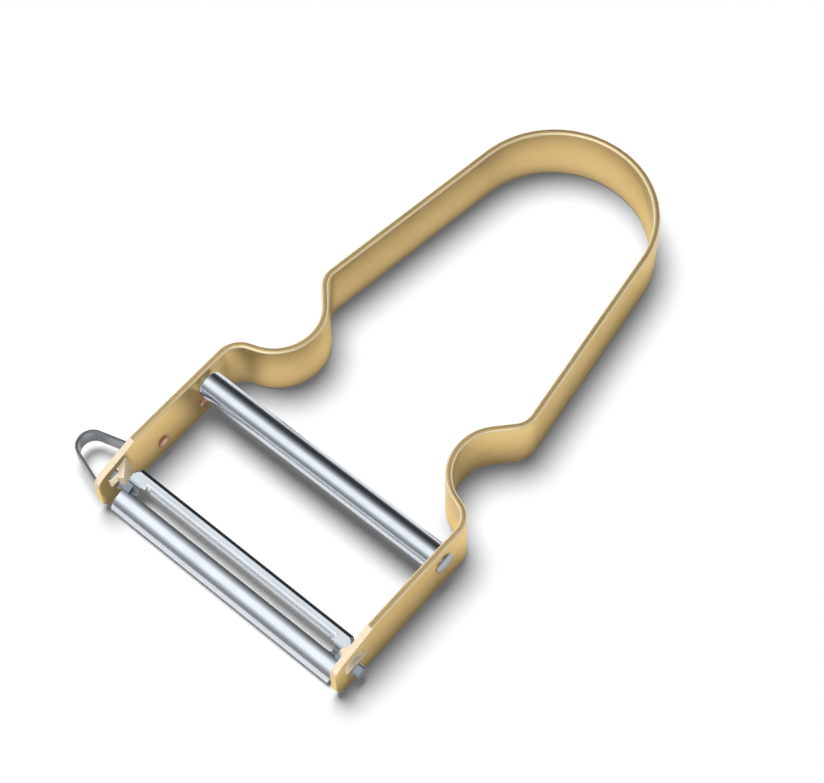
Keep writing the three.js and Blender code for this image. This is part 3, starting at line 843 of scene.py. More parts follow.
class Shader(Nodes):
    """Node material of one finish, read from Object coordinates or from a stored attribute."""

    def __init__(self, name, tone, rough, metallic=1.0):
        self.material = bpy.data.materials.new(name)
        self.material.use_nodes = True
        super().__init__(self.material.node_tree)
        self.tone, self.rough = tone, rough
        self.surface = self.tree.nodes["Principled BSDF"]
        self.set("Base Color", rgba(tone))
        self.set("Roughness", rough)
        self.set("Metallic", metallic)
        self.place = self.node("ShaderNodeTexCoord")["Object"]

    def set(self, name, value):
        """Feeds a socket of the surface."""
        self.feed(self.surface.inputs[name], value)

    def height(self):
        """Height above the floor."""
        return self.node("ShaderNodeSeparateXYZ", Vector=self.place)["Z"]

    def attribute(self, name):
        """Value of a stored attribute."""
        return self.node("ShaderNodeAttribute", {"attribute_name": name})["Fac"]

    def noise(self, vector, scale, detail):
        """Noise at a vector."""
        made = self.node("ShaderNodeTexNoise", Vector=vector, Scale=scale, Detail=detail,
                         Roughness=NOISE_ROUGHNESS)
        return made["Fac"]

    def clouds(self, scale):
        """Soft noise, the same in all directions."""
        return self.noise(self.place, scale, CLOUD_DETAIL)

    def marks(self, lines, vector=None):
        """Fine noise with a number of lines per metre along each axis."""
        source = self.place if vector is None else vector
        stretched = self.node("ShaderNodeMapping", Vector=source, Scale=lines)["Vector"]
        return self.noise(stretched, 1.0, MARK_DETAIL)

    def strip_marks(self, along, across):
        """Fine noise that follows a swept strip, with a number of lines per metre along and across it."""
        follow = self.node("ShaderNodeCombineXYZ", X=self.attribute("along"), Y=self.height())["Vector"]
        return self.marks((along, across, 1.0), follow)

    def tint(self, noise, other, limits=NOISE_RANGE):
        """Colour that changes to another one with a noise."""
        self.set("Base Color", self.between(self.spread(noise, *limits), rgba(self.tone), other))

    def roughen(self, noise, less, more):
        """Roughness that changes about its own value with a noise."""
        self.set("Roughness", self.spread(noise, *NOISE_RANGE, self.rough - less, self.rough + more))

    def bump(self, height, distance):
        """Fine relief of a given depth."""
        made = self.node("ShaderNodeBump", Height=height, Strength=1.0, Distance=distance)
        self.set("Normal", made["Normal"])

    def wear(self, marks, shade, less, more, depth, clouds=None):
        """Material with marks in its roughness and relief, and in its colour unless that has clouds."""
        self.tint(marks if clouds is None else clouds, rgba(self.tone, shade))
        self.roughen(marks, less, more)
        self.bump(marks, depth)
        return self.material


def hollow_relief(shader, strip, run):
    """Relief of the soft hollow on the strip's inner faces, which fades at both ends of the swept run."""
    middle = (STRIP_LOW.z + STRIP_HIGH.z) / 2
    off = shader.calc("DIVIDE", shader.calc("SUBTRACT", shader.height(), middle), middle)
    along = shader.attribute("along")
    first = shader.spread(along, 0.0, strip.hollow_fade, kind="SMOOTHSTEP")
    last = shader.spread(along, run, run - strip.hollow_fade, kind="SMOOTHSTEP")
    inner = shader.calc("LESS_THAN", shader.attribute("across"), 0.0)
    relief = shader.calc("MULTIPLY", shader.calc("MULTIPLY", off, off), strip.hollow)
    for factor in (inner, first, last):
        relief = shader.calc("MULTIPLY", relief, factor)
    return relief


def satin_gold(name, tone, deep, rough, metallic=1.0, hollow=None):
    """Satin gold of the strip: soft clouds, and rolling lines along its length.

    Hollow makes the relief that is added to the lines.
    """
    shader = Shader(name, tone, rough, metallic)
    shader.set("Specular Tint", rgba(SHEEN))
    lines = shader.strip_marks(along=120.0, across=9000.0)
    line_depth = 0.002 * MM
    relief = shader.calc("MULTIPLY", lines, line_depth)
    if hollow:
        relief = shader.calc("ADD", relief, hollow(shader))
    shader.tint(shader.clouds(scale=160.0), deep, SOFT_NOISE_RANGE)
    shader.roughen(lines, less=0.05, more=0.05)
    shader.bump(relief, distance=1.0)
    return shader.material


def strip_gold(finish, strip, run):
    """Anodised gold of the strip's faces, with its soft hollow."""

    def hollow(shader):
        """Relief of the hollow of this strip."""
        return hollow_relief(shader, strip, run)

    deep = rgba(finish.gold_deep)
    return satin_gold("Anodised gold", finish.gold, deep, finish.gold_roughness, hollow=hollow)


def painted_edge_gold(name, tone, finish, metallic):
    """Gold of the strip's narrow edges in a painted tone: lighter as a painted highlight on the corners,
    darker as painted shade on the flats.
    """
    deep = rgba(tone, factor=0.94)
    return satin_gold(name, tone, deep, finish.edge_roughness, metallic)


def cut_gold(finish):
    """Metal of the strip's trimmed and pierced edges, painted pale cream as a highlight, with fine shear
    marks.
    """
    shader = Shader("Trimmed edge", finish.cut_edge, finish.cut_roughness, metallic=0.3)
    marks = shader.marks((600.0, 6000.0, 1500.0))
    return shader.wear(marks, shade=0.94, less=0.06, more=0.08, depth=0.002 * MM)


def polished_steel(name, tone, rough):
    """Bright polish of the cross bar, with faint rings from its polishing."""
    shader = Shader(name, tone, rough)
    rings = shader.marks((7000.0, 250.0, 250.0))
    haze = shader.clouds(scale=220.0)
    return shader.wear(rings, shade=0.9, less=0.03, more=0.05, depth=0.0006 * MM, clouds=haze)


def rolled_steel(name, tone, rough):
    """Rolled and polished sheet of the blade, with fine lines along its length."""
    shader = Shader(name, tone, rough)
    lines = shader.marks((90.0, 6000.0, 6000.0))
    haze = shader.clouds(scale=260.0)
    return shader.wear(lines, shade=0.92, less=0.02, more=0.03, depth=0.0002 * MM, clouds=haze)


def ground_steel(finish):
    """Ground bevel of the blade, with wheel marks across it."""
    shader = Shader("Ground bevel", finish.ground, finish.blade_roughness)
    marks = shader.marks((9000.0, 200.0, 200.0))
    return shader.wear(marks, shade=0.95, less=0.01, more=0.05, depth=0.0005 * MM)


def sheared_steel(finish):
    """Sheared edge of the blade's sheet, painted near black as shade."""
    shader = Shader("Sheared edge", finish.sheared, finish.sheared_roughness)
    marks = shader.marks((1500.0, 6000.0, 6000.0))
    return shader.wear(marks, shade=2.2, less=0.1, more=0.1, depth=0.003 * MM)


def loop_steel(finish):
    """Plain rolled steel of the eye remover, with lines along the strip."""
    shader = Shader("Loop strip", finish.loop, finish.loop_roughness)
    lines = shader.strip_marks(along=250.0, across=8000.0)
    return shader.wear(lines, shade=1.25, less=0.06, more=0.06, depth=0.0015 * MM)


def rivet_copper(finish):
    """Soft copper of the rivets, slightly hammered and dulled."""
    shader = Shader("Copper rivet", finish.copper, finish.copper_roughness)
    dents = shader.clouds(scale=1400.0)
    return shader.wear(dents, shade=0.72, less=0.08, more=0.08, depth=0.02 * MM)


# The handle's arms


def trim_height(arm, strip, y):
    """Height of the trimmed top edge at a place along the arm."""
    run = (y + arm.nose_reach) / (arm.trim_start_y + arm.nose_reach)
    return arm.trim_front_height + run * (strip.width - arm.trim_step - arm.trim_front_height)


class StopTongue:
    """Stop tongue on the flat arm: where it is cut free, and how it is bent inward about its root."""

    def __init__(self, arm, strip):
        self.arm = arm
        self.low = PIVOT.z + arm.pivot_hole / 2 + arm.stop_bottom_wall + arm.stop_slit
        self.high = trim_height(arm, strip, arm.stop_rear_y) - arm.stop_top_wall - arm.stop_slit
        self.front = arm.stop_rear_y - arm.stop_length
        self.tip = self.low + arm.stop_front_height
        self.along = (self.root(self.high) - self.root(self.low)).normalized()
        self.forward = Vector((-self.along.y, self.along.x))

    def root(self, z):
        """Point of the root line at a height."""
        lean = self.arm.stop_root_lean * (self.high - z) / (self.high - self.low)
        return Vector((self.arm.stop_rear_y + lean, z))

    def slit(self):
        """Outline of the cut round the tongue, with the metal on its left."""
        gap, corner = self.arm.stop_slit, self.arm.stop_corner_radius
        fine, mouth = gap / 3, self.front - self.arm.stop_mouth
        return filleted([
            (self.root(self.high + gap), fine),
            (self.root(self.high), fine),
            (Vector((self.front, self.tip)), corner),
            (Vector((self.front, self.low)), corner),
            (self.root(self.low), fine),
            (self.root(self.low - gap), fine),
            (Vector((mouth, self.low - gap)), corner),
            (Vector((mouth, self.tip + gap)), corner),
        ], TONGUE_CORNER_STEP)

    def reach(self, point):
        """Distance of a point in front of the root, or nothing if it isn't on the tongue."""
        ahead = (point - self.root(self.low)).dot(self.forward)
        corner = self.root(self.high)
        top = Vector((self.front, self.tip)) - corner
        below = top.x * (point.y - corner.y) - top.y * (point.x - corner.x)
        margin = self.arm.stop_slit / 2
        on = (
            ahead > 0
            and point.y > self.low - margin
            and point.x > self.front - margin
            and below / top.length > -margin
        )
        return ahead if on else 0.0

    def bent(self, point, depth):
        """Point along the arm, height and inward shift of a point of the flat tongue."""
        ahead = self.reach(point)
        radius, full = self.arm.stop_bend_radius, self.arm.stop_angle
        turn = min(ahead / radius, full)
        rest = max(0.0, ahead - radius * full)
        run = radius * math.sin(turn) + rest * math.cos(turn) + depth * math.sin(turn)
        shift = radius * (1 - math.cos(turn)) + rest * math.sin(turn)
        at = point + self.forward * (run - ahead)
        return at, depth * math.cos(turn) - shift

    def well_inside(self, point):
        """Whether a point lies on the tongue and clear of its cut edges."""
        edge = self.arm.stop_slit
        ways = [Vector((0, 0)), Vector((-edge, 0)), Vector((0, edge)), Vector((0, -edge))]
        return all(self.reach(point + way) for way in ways)

    def lines(self):
        """Runs of points along the bend that let the tongue bend smoothly."""
        most = self.arm.stop_length + self.high - self.low
        found = []
        for i in range(int(most / TONGUE_GRID)):
            start = self.root(self.low) + self.forward * (TONGUE_GRID * (i + 0.5))
            run = [start + self.along * (TONGUE_GRID * j) for j in range(int(most / TONGUE_GRID))]
            found.append([point for point in run if self.well_inside(point)])
        return [run for run in found if len(run) > 1]


def arm_outline(arm, strip):
    """Outer edge of a flat arm, from the top of its joint with the bent strip round the nose."""
    cut, rolled, nose = arm.cut_edge_radius, strip.edge_radius, arm.nose_edge_radius
    tip_z, round_z = arm.trim_front_height, arm.nose_bottom_radius
    curve = filleted([
        (Vector((arm.trim_start_y, trim_height(arm, strip, arm.trim_start_y))), 0),
        (Vector((-arm.nose_reach, tip_z)), arm.nose_top_radius),
        (Vector((-arm.nose_reach, 0.0)), round_z),
        (Vector((strip.join_y, 0.0)), 0),
    ], NOSE_STEP)
    points = [Vector((strip.join_y, strip.width)), Vector((arm.trim_start_y, strip.width))] + curve
    radii, finishes = [rolled, rolled], [GOLD, BRIGHT_CUT]
    for point in curve:
        if point.x >= arm.trim_start_y:
            radii.append(cut if point.y > 0 else rolled)
        elif point.y < round_z:
            radii.append(rolled + (nose - rolled) * point.y / round_z)
        else:
            run = (point.y - round_z) / (tip_z - round_z)
            radii.append(nose + (cut - nose) * min(1.0, max(0.0, run)))
        finishes.append(BRIGHT_CUT if point.y > tip_z - arm.nose_top_radius / 2 else GOLD)
    return Outline(points, radii, finishes, closed=False)


def add_arm(bm, scene, side):
    """Adds one flat arm with its holes and its stop tongue; side is 1 for the right arm."""
    strip, arm, bar, rivet = scene.peeler_strip, scene.peeler_arm_end, scene.peeler_bar, scene.peeler_rivet
    tongue = StopTongue(arm, strip)
    room = 2 * rivet.hole_gap
    cuts = [
        tongue.slit(),
        circle(0.0, PIVOT.z, arm.pivot_hole),
        circle(BAR_MIDDLE.y - PIVOT.y, BAR_MIDDLE.z, bar.tenon_diameter + room),
    ]
    if side < 0:
        for i in range(rivet.count):
            y = rivet.front_y + i * rivet.pitch
            cuts.append(circle(y, RIVET_MIDDLE.z, rivet.shank_diameter + room))
    outlines = [arm_outline(arm, strip)]
    outlines += [Outline(cut, arm.cut_edge_radius, BRIGHT_CUT) for cut in cuts]

    def place(point, depth):
        """Point of the flat arm at a depth, as a point of the CAD frame with the tongue bent."""
        at, out = tongue.bent(point, depth)
        return in_frame(side * (arm_middle(strip) + out), at.x, at.y)

    add_plate(bm, outlines, tongue.lines(), strip.thickness / 2, place)


# The blade


class BladeShape:
    """The blade's sheet laid flat, and how its front lip is bent."""

    def __init__(self, blade, strip):
        self.blade = blade
        self.half = ARM_OUTSIDE - strip.thickness - blade.side_gap
        self.slot_rear = blade.slot_centre + blade.slot_width / 2
        lap = blade.thickness / 2 * math.sin(blade.lip_start)
        self.slot_front = blade.slot_centre - blade.slot_width / 2 - lap
        self.slot_run = self.slot_rear - self.slot_front
        self.rear = self.slot_rear + blade.rear_lip
        self.front = self.slot_front - blade.lip_radius * (blade.lip_start - blade.lip_end)
        self.slot_end = self.half - blade.slot_end_land
        self.grind_end = self.slot_end - blade.grind_end_land

    def grind_depth(self, point):
        """How much metal the grind takes off the upper face at a point of the flat sheet."""
        blade = self.blade
        back = point.y - self.slot_rear
        if back < -self.slot_run / 2 or back >= blade.grind_width:
            return 0.0
        inset = (self.grind_end - abs(point.x)) / blade.grind_run_out
        fade = min(1.0, max(0.0, inset))
        fade = fade * fade * (3 - 2 * fade)
        full, land = blade.thickness - blade.cutting_edge, blade.grind_land_depth
        steps = (
            (0.0, full),
            (blade.grind_land, full - land),
            (blade.grind_width - blade.grind_land, land),
            (blade.grind_width, 0.0),
        )
        back = max(back, 0.0)
        for (near, deep), (far, shallow) in zip(steps, steps[1:]):
            if back <= far:
                return fade * (deep + (shallow - deep) * (back - near) / (far - near))
        return 0.0

    def break_depth(self, point):
        """How much metal the edge break takes off the upper face along the rear lip."""
        corner = self.half + self.rear - self.blade.rear_corner_cut
        inset = min(self.rear - point.y, (corner - abs(point.x) - point.y) / math.sqrt(2))
        return max(0.0, self.blade.rear_break - max(0.0, inset))

    def upper(self, point):
        """Depth of the upper face at a point of the flat sheet."""
        return self.blade.thickness / 2 - self.grind_depth(point) - self.break_depth(point)

    def finish(self, point):
        """Finish of the upper face at a point: front lip, end land, ground bevel or sheet."""
        # The front lip takes a lighter copy of the steel as a painted highlight
        if point.y < self.slot_front:
            return LIT_LIP
        # The end lands take the dark tang steel as painted shade
        if point.y < self.slot_rear:
            return TANG
        return GROUND if self.grind_depth(point) > 0 else SHEET

    def place(self, point, depth):
        """Point of the flat sheet at a depth, as a point of the CAD frame with the blade at rest."""
        blade = self.blade
        if point.y >= self.slot_rear:
            y, z, lean = point.y, blade.rise, 0.0
        elif point.y >= self.slot_front:
            run = (self.slot_rear - point.y) / self.slot_run
            climb = math.tan(blade.lip_start) * self.slot_run
            y = point.y
            z = blade.rise - blade.lip_drop * run**2 * (3 - 2 * run) + climb * run**2 * (run - 1)
            slope = -6 * blade.lip_drop * run * (1 - run) + climb * run * (3 * run - 2)
            lean = math.atan2(slope, self.slot_run)
        else:
            lean = blade.lip_start - (self.slot_front - point.y) / blade.lip_radius
            start, radius = blade.lip_start, blade.lip_radius
            y = self.slot_front + radius * (math.sin(lean) - math.sin(start))
            z = blade.rise - blade.lip_drop + radius * (math.cos(lean) - math.cos(start))
        return self.turned(point.x, y + depth * math.sin(lean), z + depth * math.cos(lean))

    def turned(self, x, y, z):
        """Point of the blade's level frame as a point of the CAD frame with the blade at rest."""
        blade = self.blade
        sine, cosine = math.sin(blade.rest_tilt), math.cos(blade.rest_tilt)
        return in_frame(x + blade.side_shift, y * cosine - z * sine, PIVOT.z + y * sine + z * cosine)

    def outlines(self):
        """Outer edge and slot of the flat sheet."""
        blade, half, cut = self.blade, self.half, self.blade.rear_corner_cut
        front, rear = blade.front_corner_radius, blade.rear_corner_radius
        outer = filleted([
            (Vector((-half, self.front)), front),
            (Vector((half, self.front)), front),
            (Vector((half, self.rear - cut)), rear),
            (Vector((half - cut, self.rear)), rear),
            (Vector((-half + cut, self.rear)), rear),
            (Vector((-half, self.rear - cut)), rear),
        ], BLADE_CORNER_STEP)
        outer = divided(outer, BLADE_EDGE_STEP)
        slot = filleted([
            (Vector((-self.slot_end, self.slot_front)), blade.slot_corner_radius),
            (Vector((-self.slot_end, self.slot_rear)), blade.slot_corner_radius),
            (Vector((self.slot_end, self.slot_rear)), blade.slot_corner_radius),
            (Vector((self.slot_end, self.slot_front)), blade.slot_corner_radius),
        ])
        slot = divided(slot, SLOT_EDGE_STEP)
        finishes = [SHEARED if point.y > self.slot_rear else SHEET for point in outer]
        return [Outline(outer, blade.edge_radius, finishes), Outline(slot, blade.slot_edge_radius, SHEET)]

    def lines(self):
        """Runs of points along the sheet: close together on the bent lip and across the grind."""
        blade, clear = self.blade, CLEAR_RADII * self.blade.edge_radius
        reach = self.half - clear
        bevel_front = self.slot_rear + blade.grind_land
        bevel_rear = self.slot_rear + blade.grind_width - blade.grind_land
        rows = even(self.front + clear, self.slot_front - clear, LIP_ROWS)
        rows += [bevel_front, bevel_rear, self.slot_rear + blade.grind_width]
        rows += even(bevel_front, bevel_rear, GRIND_ROWS)[1:-1]
        found = [[Vector((x, row)) for x in even(-reach, reach, SHEET_COLUMNS)] for row in rows]
        for side in (-1, 1):
            columns = even(side * (self.slot_end + clear), side * reach, LAND_COLUMNS)
            for row in even(self.slot_front, self.slot_rear, LAND_ROWS)[1:-1]:
                found.append([Vector((x, row)) for x in columns])
        return found + [self.break_line(reach, clear)]

    def break_line(self, reach, clear):
        """Run of points where the edge break along the rear lip begins."""
        width, cut = self.blade.rear_break, self.blade.rear_corner_cut
        bend = self.half - cut - (math.sqrt(2) - 1) * width
        right = [
            Vector((bend, self.rear - width)),
            Vector((reach, self.rear - cut - math.sqrt(2) * width + clear)),
        ]
        return [Vector((-point.x, point.y)) for point in reversed(right)] + right


def add_tang(bm, blade, shape, side):
    """Adds a flat tang with rounded corners at one end of the blade."""
    wide, thick, soft = blade.tang_width / 2, blade.tang_thickness / 2, blade.tang_edge_radius
    corners = ((-wide, -thick), (wide, -thick), (wide, thick), (-wide, thick))
    section = filleted([(Vector(corner), blade.tang_corner_radius) for corner in corners], TANG_CORNER_STEP)
    start, end = shape.half - blade.tang_root, ARM_OUTSIDE + blade.tang_standout
    stations = [(start, 0.0), (end - soft, 0.0)]
    stations += [(end - soft * (1 - math.sin(t)), soft * (1 - math.cos(t))) for t in TANG_TIP_TURNS]
    normals = inward_normals(section, closed=True)
    rings = [
        [bm.verts.new(shape.turned(side * x, *(p + n * inset))) for p, n in zip(section, normals)]
        for x, inset in stations
    ]
    add_bands(bm, rings, [TANG] * len(section))
    for ring in (rings[0], rings[-1]):
        bm.faces.new(ring).material_index = TANG


# Operators


class PEELER_OT_handle_strip(bpy.types.Operator):
    """Builds the bent strip with its two pierced arm ends"""

    bl_idname = "peeler.handle_strip"
    bl_label = "Handle strip"

    def execute(self, context):
        scene = context.scene
        strip, finish = scene.peeler_strip, scene.peeler_finish
        line = handle_line(strip)
        run = sum((b - a).length for a, b in zip(line, line[1:]))
        materials = [
            strip_gold(finish, strip, run),
            # Pale cream of the cut edges, a painted highlight
            cut_gold(finish),
            # The corners get a lighter copy of the gold as a painted highlight, the flats a darker copy as
            # painted shade
            painted_edge_gold("Rubbed corner", finish.corner, finish, metallic=0.2),
            painted_edge_gold("Rolled edge", finish.edge, finish, metallic=0.9),
        ]
        bm = swept_strip(line, strip.width / 2, strip.width, strip, materials[GOLD])
        self.open_ends(bm)
        self.join_arms(bm, scene, run)
        self.part_edges(bm)
        obj = finish_mesh(bm, STRIP_PIECE, materials)
        obj.visible_glossy = False
        hand_over(obj, "handle", "gold_strip", "handle_strip")
        return {"FINISHED"}

    def open_ends(self, bm):
        """Removes the end caps of the sweep, the only faces with more than four corners."""
        ends = [face for face in bm.faces if len(face.verts) > 4]
        bmesh.ops.delete(bm, geom=ends, context="FACES_ONLY")

    def join_arms(self, bm, scene, run):
        """Adds the flat arms, and carries the distance along the strip on into them."""
        swept = set(bm.verts)
        for side in (1, -1):
            add_arm(bm, scene, side)
        along = bm.verts.layers.float["along"]
        for vert in bm.verts:
            if vert not in swept:
                reach = vert.co.y - PIVOT.y - scene.peeler_strip.join_y
                vert[along] = reach if vert.co.x > PIVOT.x else run - reach

    def part_edges(self, bm):
        """Gives the corners of the strip's narrow edges a painted highlight and their flats a painted
        shade.
        """
        for face in bm.faces:
            face.normal_update()
            lean = abs(face.normal.z)
            if face.material_index == GOLD and lean > EDGE_LEAN:
                face.material_index = LIT_CORNER if lean < FLAT_LEAN else SHADED_FLAT


class PEELER_OT_cross_bar(bpy.types.Operator):
    """Turns the cross bar with its tenons and peened heads"""

    bl_idname = "peeler.cross_bar"
    bl_label = "Cross bar"

    def execute(self, context):
        scene = context.scene
        strip, bar, finish = scene.peeler_strip, scene.peeler_bar, scene.peeler_finish
        inside = ARM_OUTSIDE - strip.thickness - bar.seat_gap
        seat = ARM_OUTSIDE + bar.seat_gap
        right = rounded_shoulder(inside, bar.diameter / 2, bar.edge_break)
        right += [(inside, bar.tenon_diameter / 2), (seat, bar.tenon_diameter / 2)]
        right += dome(bar.head_diameter / 2, bar.head_height, seat, 1)
        left = [(-x, radius) for x, radius in reversed(right)]
        bm = bmesh.new()
        add_lathe(bm, left + right, BAR_SEGMENTS)
        for face in bm.faces:
            face.material_index = PEENED if abs(face.calc_center_median().x) > seat else POLISHED
        centre = Vector((PIVOT.x, BAR_MIDDLE.y, BAR_MIDDLE.z))
        bmesh.ops.translate(bm, verts=bm.verts, vec=centre)
        obj = finish_mesh(bm, "polished_bar", [
            polished_steel("Polished bar", finish.polished, finish.polish_roughness),
            # The heads take a darker copy of the bar's steel as painted shade
            polished_steel("Peened heads", finish.peened, finish.peened_roughness),
        ])
        hand_over(obj, "handle", "polished_bar", "cross_bar")
        return {"FINISHED"}


class PEELER_OT_eye_remover(bpy.types.Operator):
    """Bends the eye remover's strip round its loop"""

    bl_idname = "peeler.eye_remover"
    bl_label = "Eye remover"

    def execute(self, context):
        scene = context.scene
        loop = scene.peeler_loop
        steel = loop_steel(scene.peeler_finish)
        bm = swept_strip(loop_line(loop), LOOP_MIDDLE.z, loop.height, loop, steel)
        obj = finish_mesh(bm, "eye_remover_loop", [steel])
        hand_over(obj, "handle", "loop_steel", "eye_remover")
        return {"FINISHED"}


class PEELER_OT_loop_rivets(bpy.types.Operator):
    """Sets the copper rivets through the eye remover's tail"""

    bl_idname = "peeler.loop_rivets"
    bl_label = "Loop rivets"

    def execute(self, context):
        scene = context.scene
        rivet = scene.peeler_rivet
        copper = rivet_copper(scene.peeler_finish)
        bm = bmesh.new()
        add_lathe(bm, self.profile(scene), RIVET_SEGMENTS)
        single = finish_mesh(bm, "single_rivet", [copper])
        holder = bpy.data.objects.new("rivet_line", bpy.data.meshes.new("rivet_line"))
        scene.collection.objects.link(holder)
        bm = made_by_tree(holder, rivet_tree(), {
            "Rivet": single,
            "Count": rivet.count,
            "First": in_frame(0.0, rivet.front_y, RIVET_MIDDLE.z),
            "Step": (0.0, rivet.pitch, 0.0),
            "Finish": copper,
        })
        bpy.data.objects.remove(single)
        obj = finish_mesh(bm, "loop_rivets", [copper])
        hand_over(obj, "handle", "copper_rivet", "loop_rivet_front", "loop_rivet_rear")
        return {"FINISHED"}

    def profile(self, scene):
        """Profile of a rivet through the loop's tail and the left arm, from its outer head inward."""
        strip, loop, rivet = scene.peeler_strip, scene.peeler_loop, scene.peeler_rivet
        inside = -(ARM_OUTSIDE - strip.thickness - loop.seat_gap)
        outside = -(ARM_OUTSIDE + 2 * loop.seat_gap + loop.thickness)
        outer = dome(rivet.head_diameter / 2, rivet.head_height, outside, -1)
        shank = [(outside, rivet.shank_diameter / 2), (inside, rivet.shank_diameter / 2)]
        return outer[::-1] + shank + dome(rivet.head_diameter / 2, rivet.head_height, inside, 1)


class PEELER_OT_swivel_blade(bpy.types.Operator):
    """Cuts, grinds and bends the swivel blade"""

    bl_idname = "peeler.swivel_blade"
    bl_label = "Swivel blade"

    def execute(self, context):
        scene = context.scene
        blade, finish = scene.peeler_blade, scene.peeler_finish
        shape = BladeShape(blade, scene.peeler_strip)
        bm = bmesh.new()
        half = blade.thickness / 2
        add_plate(bm, shape.outlines(), shape.lines(), half, shape.place, shape.upper, shape.finish)
        for side in (1, -1):
            add_tang(bm, blade, shape, side)
        materials = [
            rolled_steel("Blade sheet", finish.blade, finish.blade_roughness),
            sheared_steel(finish),
            ground_steel(finish),
            # A lighter copy of the blade steel, a painted highlight on the front lip
            rolled_steel("Front lip", finish.lip, finish.blade_roughness),
            # Darker steel of the tangs, partly painted shade, which the end lands also take
            rolled_steel("Tang", finish.tang, finish.tang_roughness),
        ]
        obj = finish_mesh(bm, "slotted_blade", materials, BLADE_SHARP)
        hand_over(obj, "blade", "blade_steel", "swivel_blade")
        return {"FINISHED"}


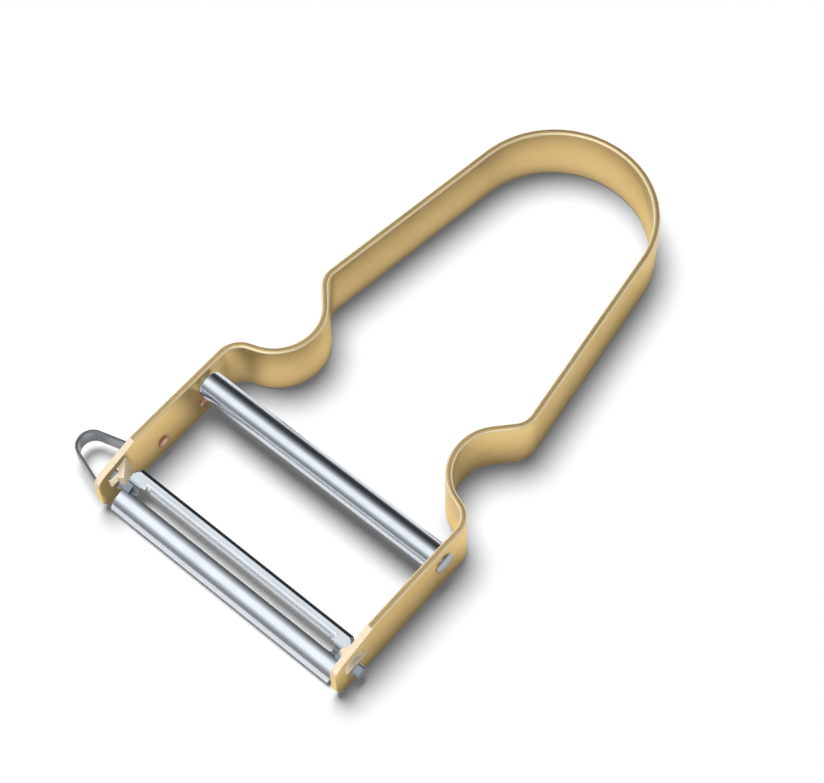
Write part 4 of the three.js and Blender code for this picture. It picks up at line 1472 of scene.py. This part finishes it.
class PEELER_OT_stage(bpy.types.Operator):
    """Sets the floor, the light and the camera round the finished pieces"""

    bl_idname = "peeler.stage"
    bl_label = "Stage"

    def execute(self, context):
        scene = context.scene
        stage = scene.peeler_stage
        if STRIP_PIECE not in bpy.data.objects:
            raise RuntimeError("the stage lights the handle strip, so that is built first")
        scene.view_settings.view_transform = "Standard"
        self.make_floor(scene, stage)
        key, gloss, overhead = Vector(stage.key_way), Vector(stage.gloss_way), Vector((0.0, 0.0, 1.0))
        self.make_lamp(scene, "soft_key", stage.key_strength, stage.key_spread, key)
        self.make_lamp(scene, "overhead_fill", stage.fill_strength, math.pi, overhead)
        front = self.make_lamp(scene, "low_front", stage.gloss_strength, stage.gloss_spread, gloss)
        self.keep_to_gold(front)
        self.make_sky(scene, stage)
        self.make_camera(scene, stage)
        return {"FINISHED"}

    def make_floor(self, scene, stage):
        """Adds the pale floor, with a little plain white where metal mirrors it."""
        half = stage.floor_size / 2
        mesh = bpy.data.meshes.new("floor")
        corners = [(-half, -half, 0), (half, -half, 0), (half, half, 0), (-half, half, 0)]
        mesh.from_pydata(corners, [], [(0, 1, 2, 3)])
        floor = bpy.data.objects.new("floor", mesh)
        scene.collection.objects.link(floor)
        shader = Shader("Pale floor", stage.floor, stage.floor_roughness, metallic=0.0)
        shader.set("Specular IOR Level", 0.0)
        mirrored = shader.node("ShaderNodeLightPath")["Is Glossy Ray"]
        mixed = shader.tree.nodes.new("ShaderNodeMixShader")
        shader.feed(mixed.inputs["Fac"], shader.calc("MULTIPLY", mirrored, stage.floor_glow))
        shader.feed(mixed.inputs[1], shader.surface.outputs["BSDF"])
        shader.feed(mixed.inputs[2], shader.node("ShaderNodeEmission")["Emission"])
        out = shader.tree.nodes["Material Output"]
        shader.feed(out.inputs["Surface"], mixed.outputs["Shader"])
        mesh.materials.append(shader.material)

    def make_lamp(self, scene, name, strength, spread, way):
        """Adds a soft lamp far off in a direction, which lights surfaces and isn't mirrored."""
        data = bpy.data.lights.new(name, "SUN")
        data.energy = strength
        data.angle = spread
        lamp = bpy.data.objects.new(name, data)
        lamp.rotation_mode = "QUATERNION"
        lamp.rotation_quaternion = way.to_track_quat("Z", "Y")
        lamp.visible_glossy = False
        scene.collection.objects.link(lamp)
        return lamp

    def keep_to_gold(self, lamp):
        """Makes a lamp one that only the gold strip mirrors."""
        lamp.visible_glossy = True
        lamp.visible_diffuse = False
        receivers = bpy.data.collections.new("satin_gold")
        receivers.objects.link(bpy.data.objects[STRIP_PIECE])
        lamp.light_linking.receiver_collection = receivers

    def make_sky(self, scene, stage):
        """Makes the sky that metal mirrors: an arch of brightness over the top, between plain sides."""
        world = bpy.data.worlds.new("studio")
        scene.world = world
        world.use_nodes = True
        world.cycles_visibility.diffuse = False
        sky = Nodes(world.node_tree)
        way = sky.node("ShaderNodeTexCoord")["Generated"]
        parts = sky.node("ShaderNodeSeparateXYZ", Vector=way)
        rise = sky.calc("ARCTAN2", parts["Z"], sky.calc("MULTIPLY", parts["Y"], -1.0))
        arch = sky.tree.nodes.new("ShaderNodeValToRGB")
        sky.feed(arch.inputs["Fac"], sky.calc("DIVIDE", rise, math.pi))
        ramp = arch.color_ramp
        while len(ramp.elements) < len(SKY_ARCH):
            ramp.elements.new(0.5)
        for element, (degrees, level) in zip(ramp.elements, SKY_ARCH):
            element.position = degrees / 180
            element.color = rgba(SKY_TINT, level)
        aside = sky.calc("ABSOLUTE", sky.calc("SUBTRACT", parts["X"], ARCH_X))
        sides = sky.spread(parts["X"], *SIDE_FADE, stage.side_level, stage.right_level)
        blend = sky.between(sky.spread(aside, *ARCH_FADE), arch.outputs["Color"], sides)
        sky.feed(sky.tree.nodes["Background"].inputs["Color"], blend)

    def make_camera(self, scene, stage):
        """Sets the camera to the photograph's view."""
        a, e, r = stage.azimuth, stage.elevation, stage.roll
        back = Vector((math.sin(a) * math.cos(e), -math.cos(a) * math.cos(e), math.sin(e)))
        right = Vector((math.cos(a), math.sin(a), 0.0))
        up = back.cross(right)
        right, up = math.cos(r) * right + math.sin(r) * up, math.cos(r) * up - math.sin(r) * right
        place = in_frame(stage.target_x, stage.target_y, 0.0) + back * stage.distance
        data = bpy.data.cameras.new("camera")
        data.lens = stage.lens
        camera = bpy.data.objects.new("camera", data)
        camera.matrix_world = Matrix((
            (right.x, up.x, back.x, place.x),
            (right.y, up.y, back.y, place.y),
            (right.z, up.z, back.z, place.z),
            (0.0, 0.0, 0.0, 1.0),
        ))
        scene.collection.objects.link(camera)
        scene.camera = camera


OPERATORS = (
    PEELER_OT_handle_strip,
    PEELER_OT_cross_bar,
    PEELER_OT_eye_remover,
    PEELER_OT_loop_rivets,
    PEELER_OT_swivel_blade,
    PEELER_OT_stage,
)


class PEELER_PT_pieces(bpy.types.Panel):
    """Lists the peeler's pieces in the sidebar"""

    bl_label = "Vegetable peeler"
    bl_idname = "PEELER_PT_pieces"
    bl_space_type = "VIEW_3D"
    bl_region_type = "UI"
    bl_category = "Peeler"

    def draw(self, context):
        for operator in OPERATORS:
            self.layout.operator(operator.bl_idname)


def register():
    """Registers the settings, the operators and the panel."""
    for name, group in SETTINGS.items():
        bpy.utils.register_class(group)
        setattr(bpy.types.Scene, name, PointerProperty(type=group))
    for cls in (*OPERATORS, PEELER_PT_pieces):
        bpy.utils.register_class(cls)


def unregister():
    """Takes back what register made."""
    for cls in reversed((*OPERATORS, PEELER_PT_pieces)):
        bpy.utils.unregister_class(cls)
    for name, group in SETTINGS.items():
        delattr(bpy.types.Scene, name)
        bpy.utils.unregister_class(group)


def main():
    """Builds every piece and the stage."""
    register()
    bpy.ops.peeler.handle_strip()
    bpy.ops.peeler.cross_bar()
    bpy.ops.peeler.eye_remover()
    bpy.ops.peeler.loop_rivets()
    bpy.ops.peeler.swivel_blade()
    bpy.ops.peeler.stage()


if __name__ == "__main__":
    main()
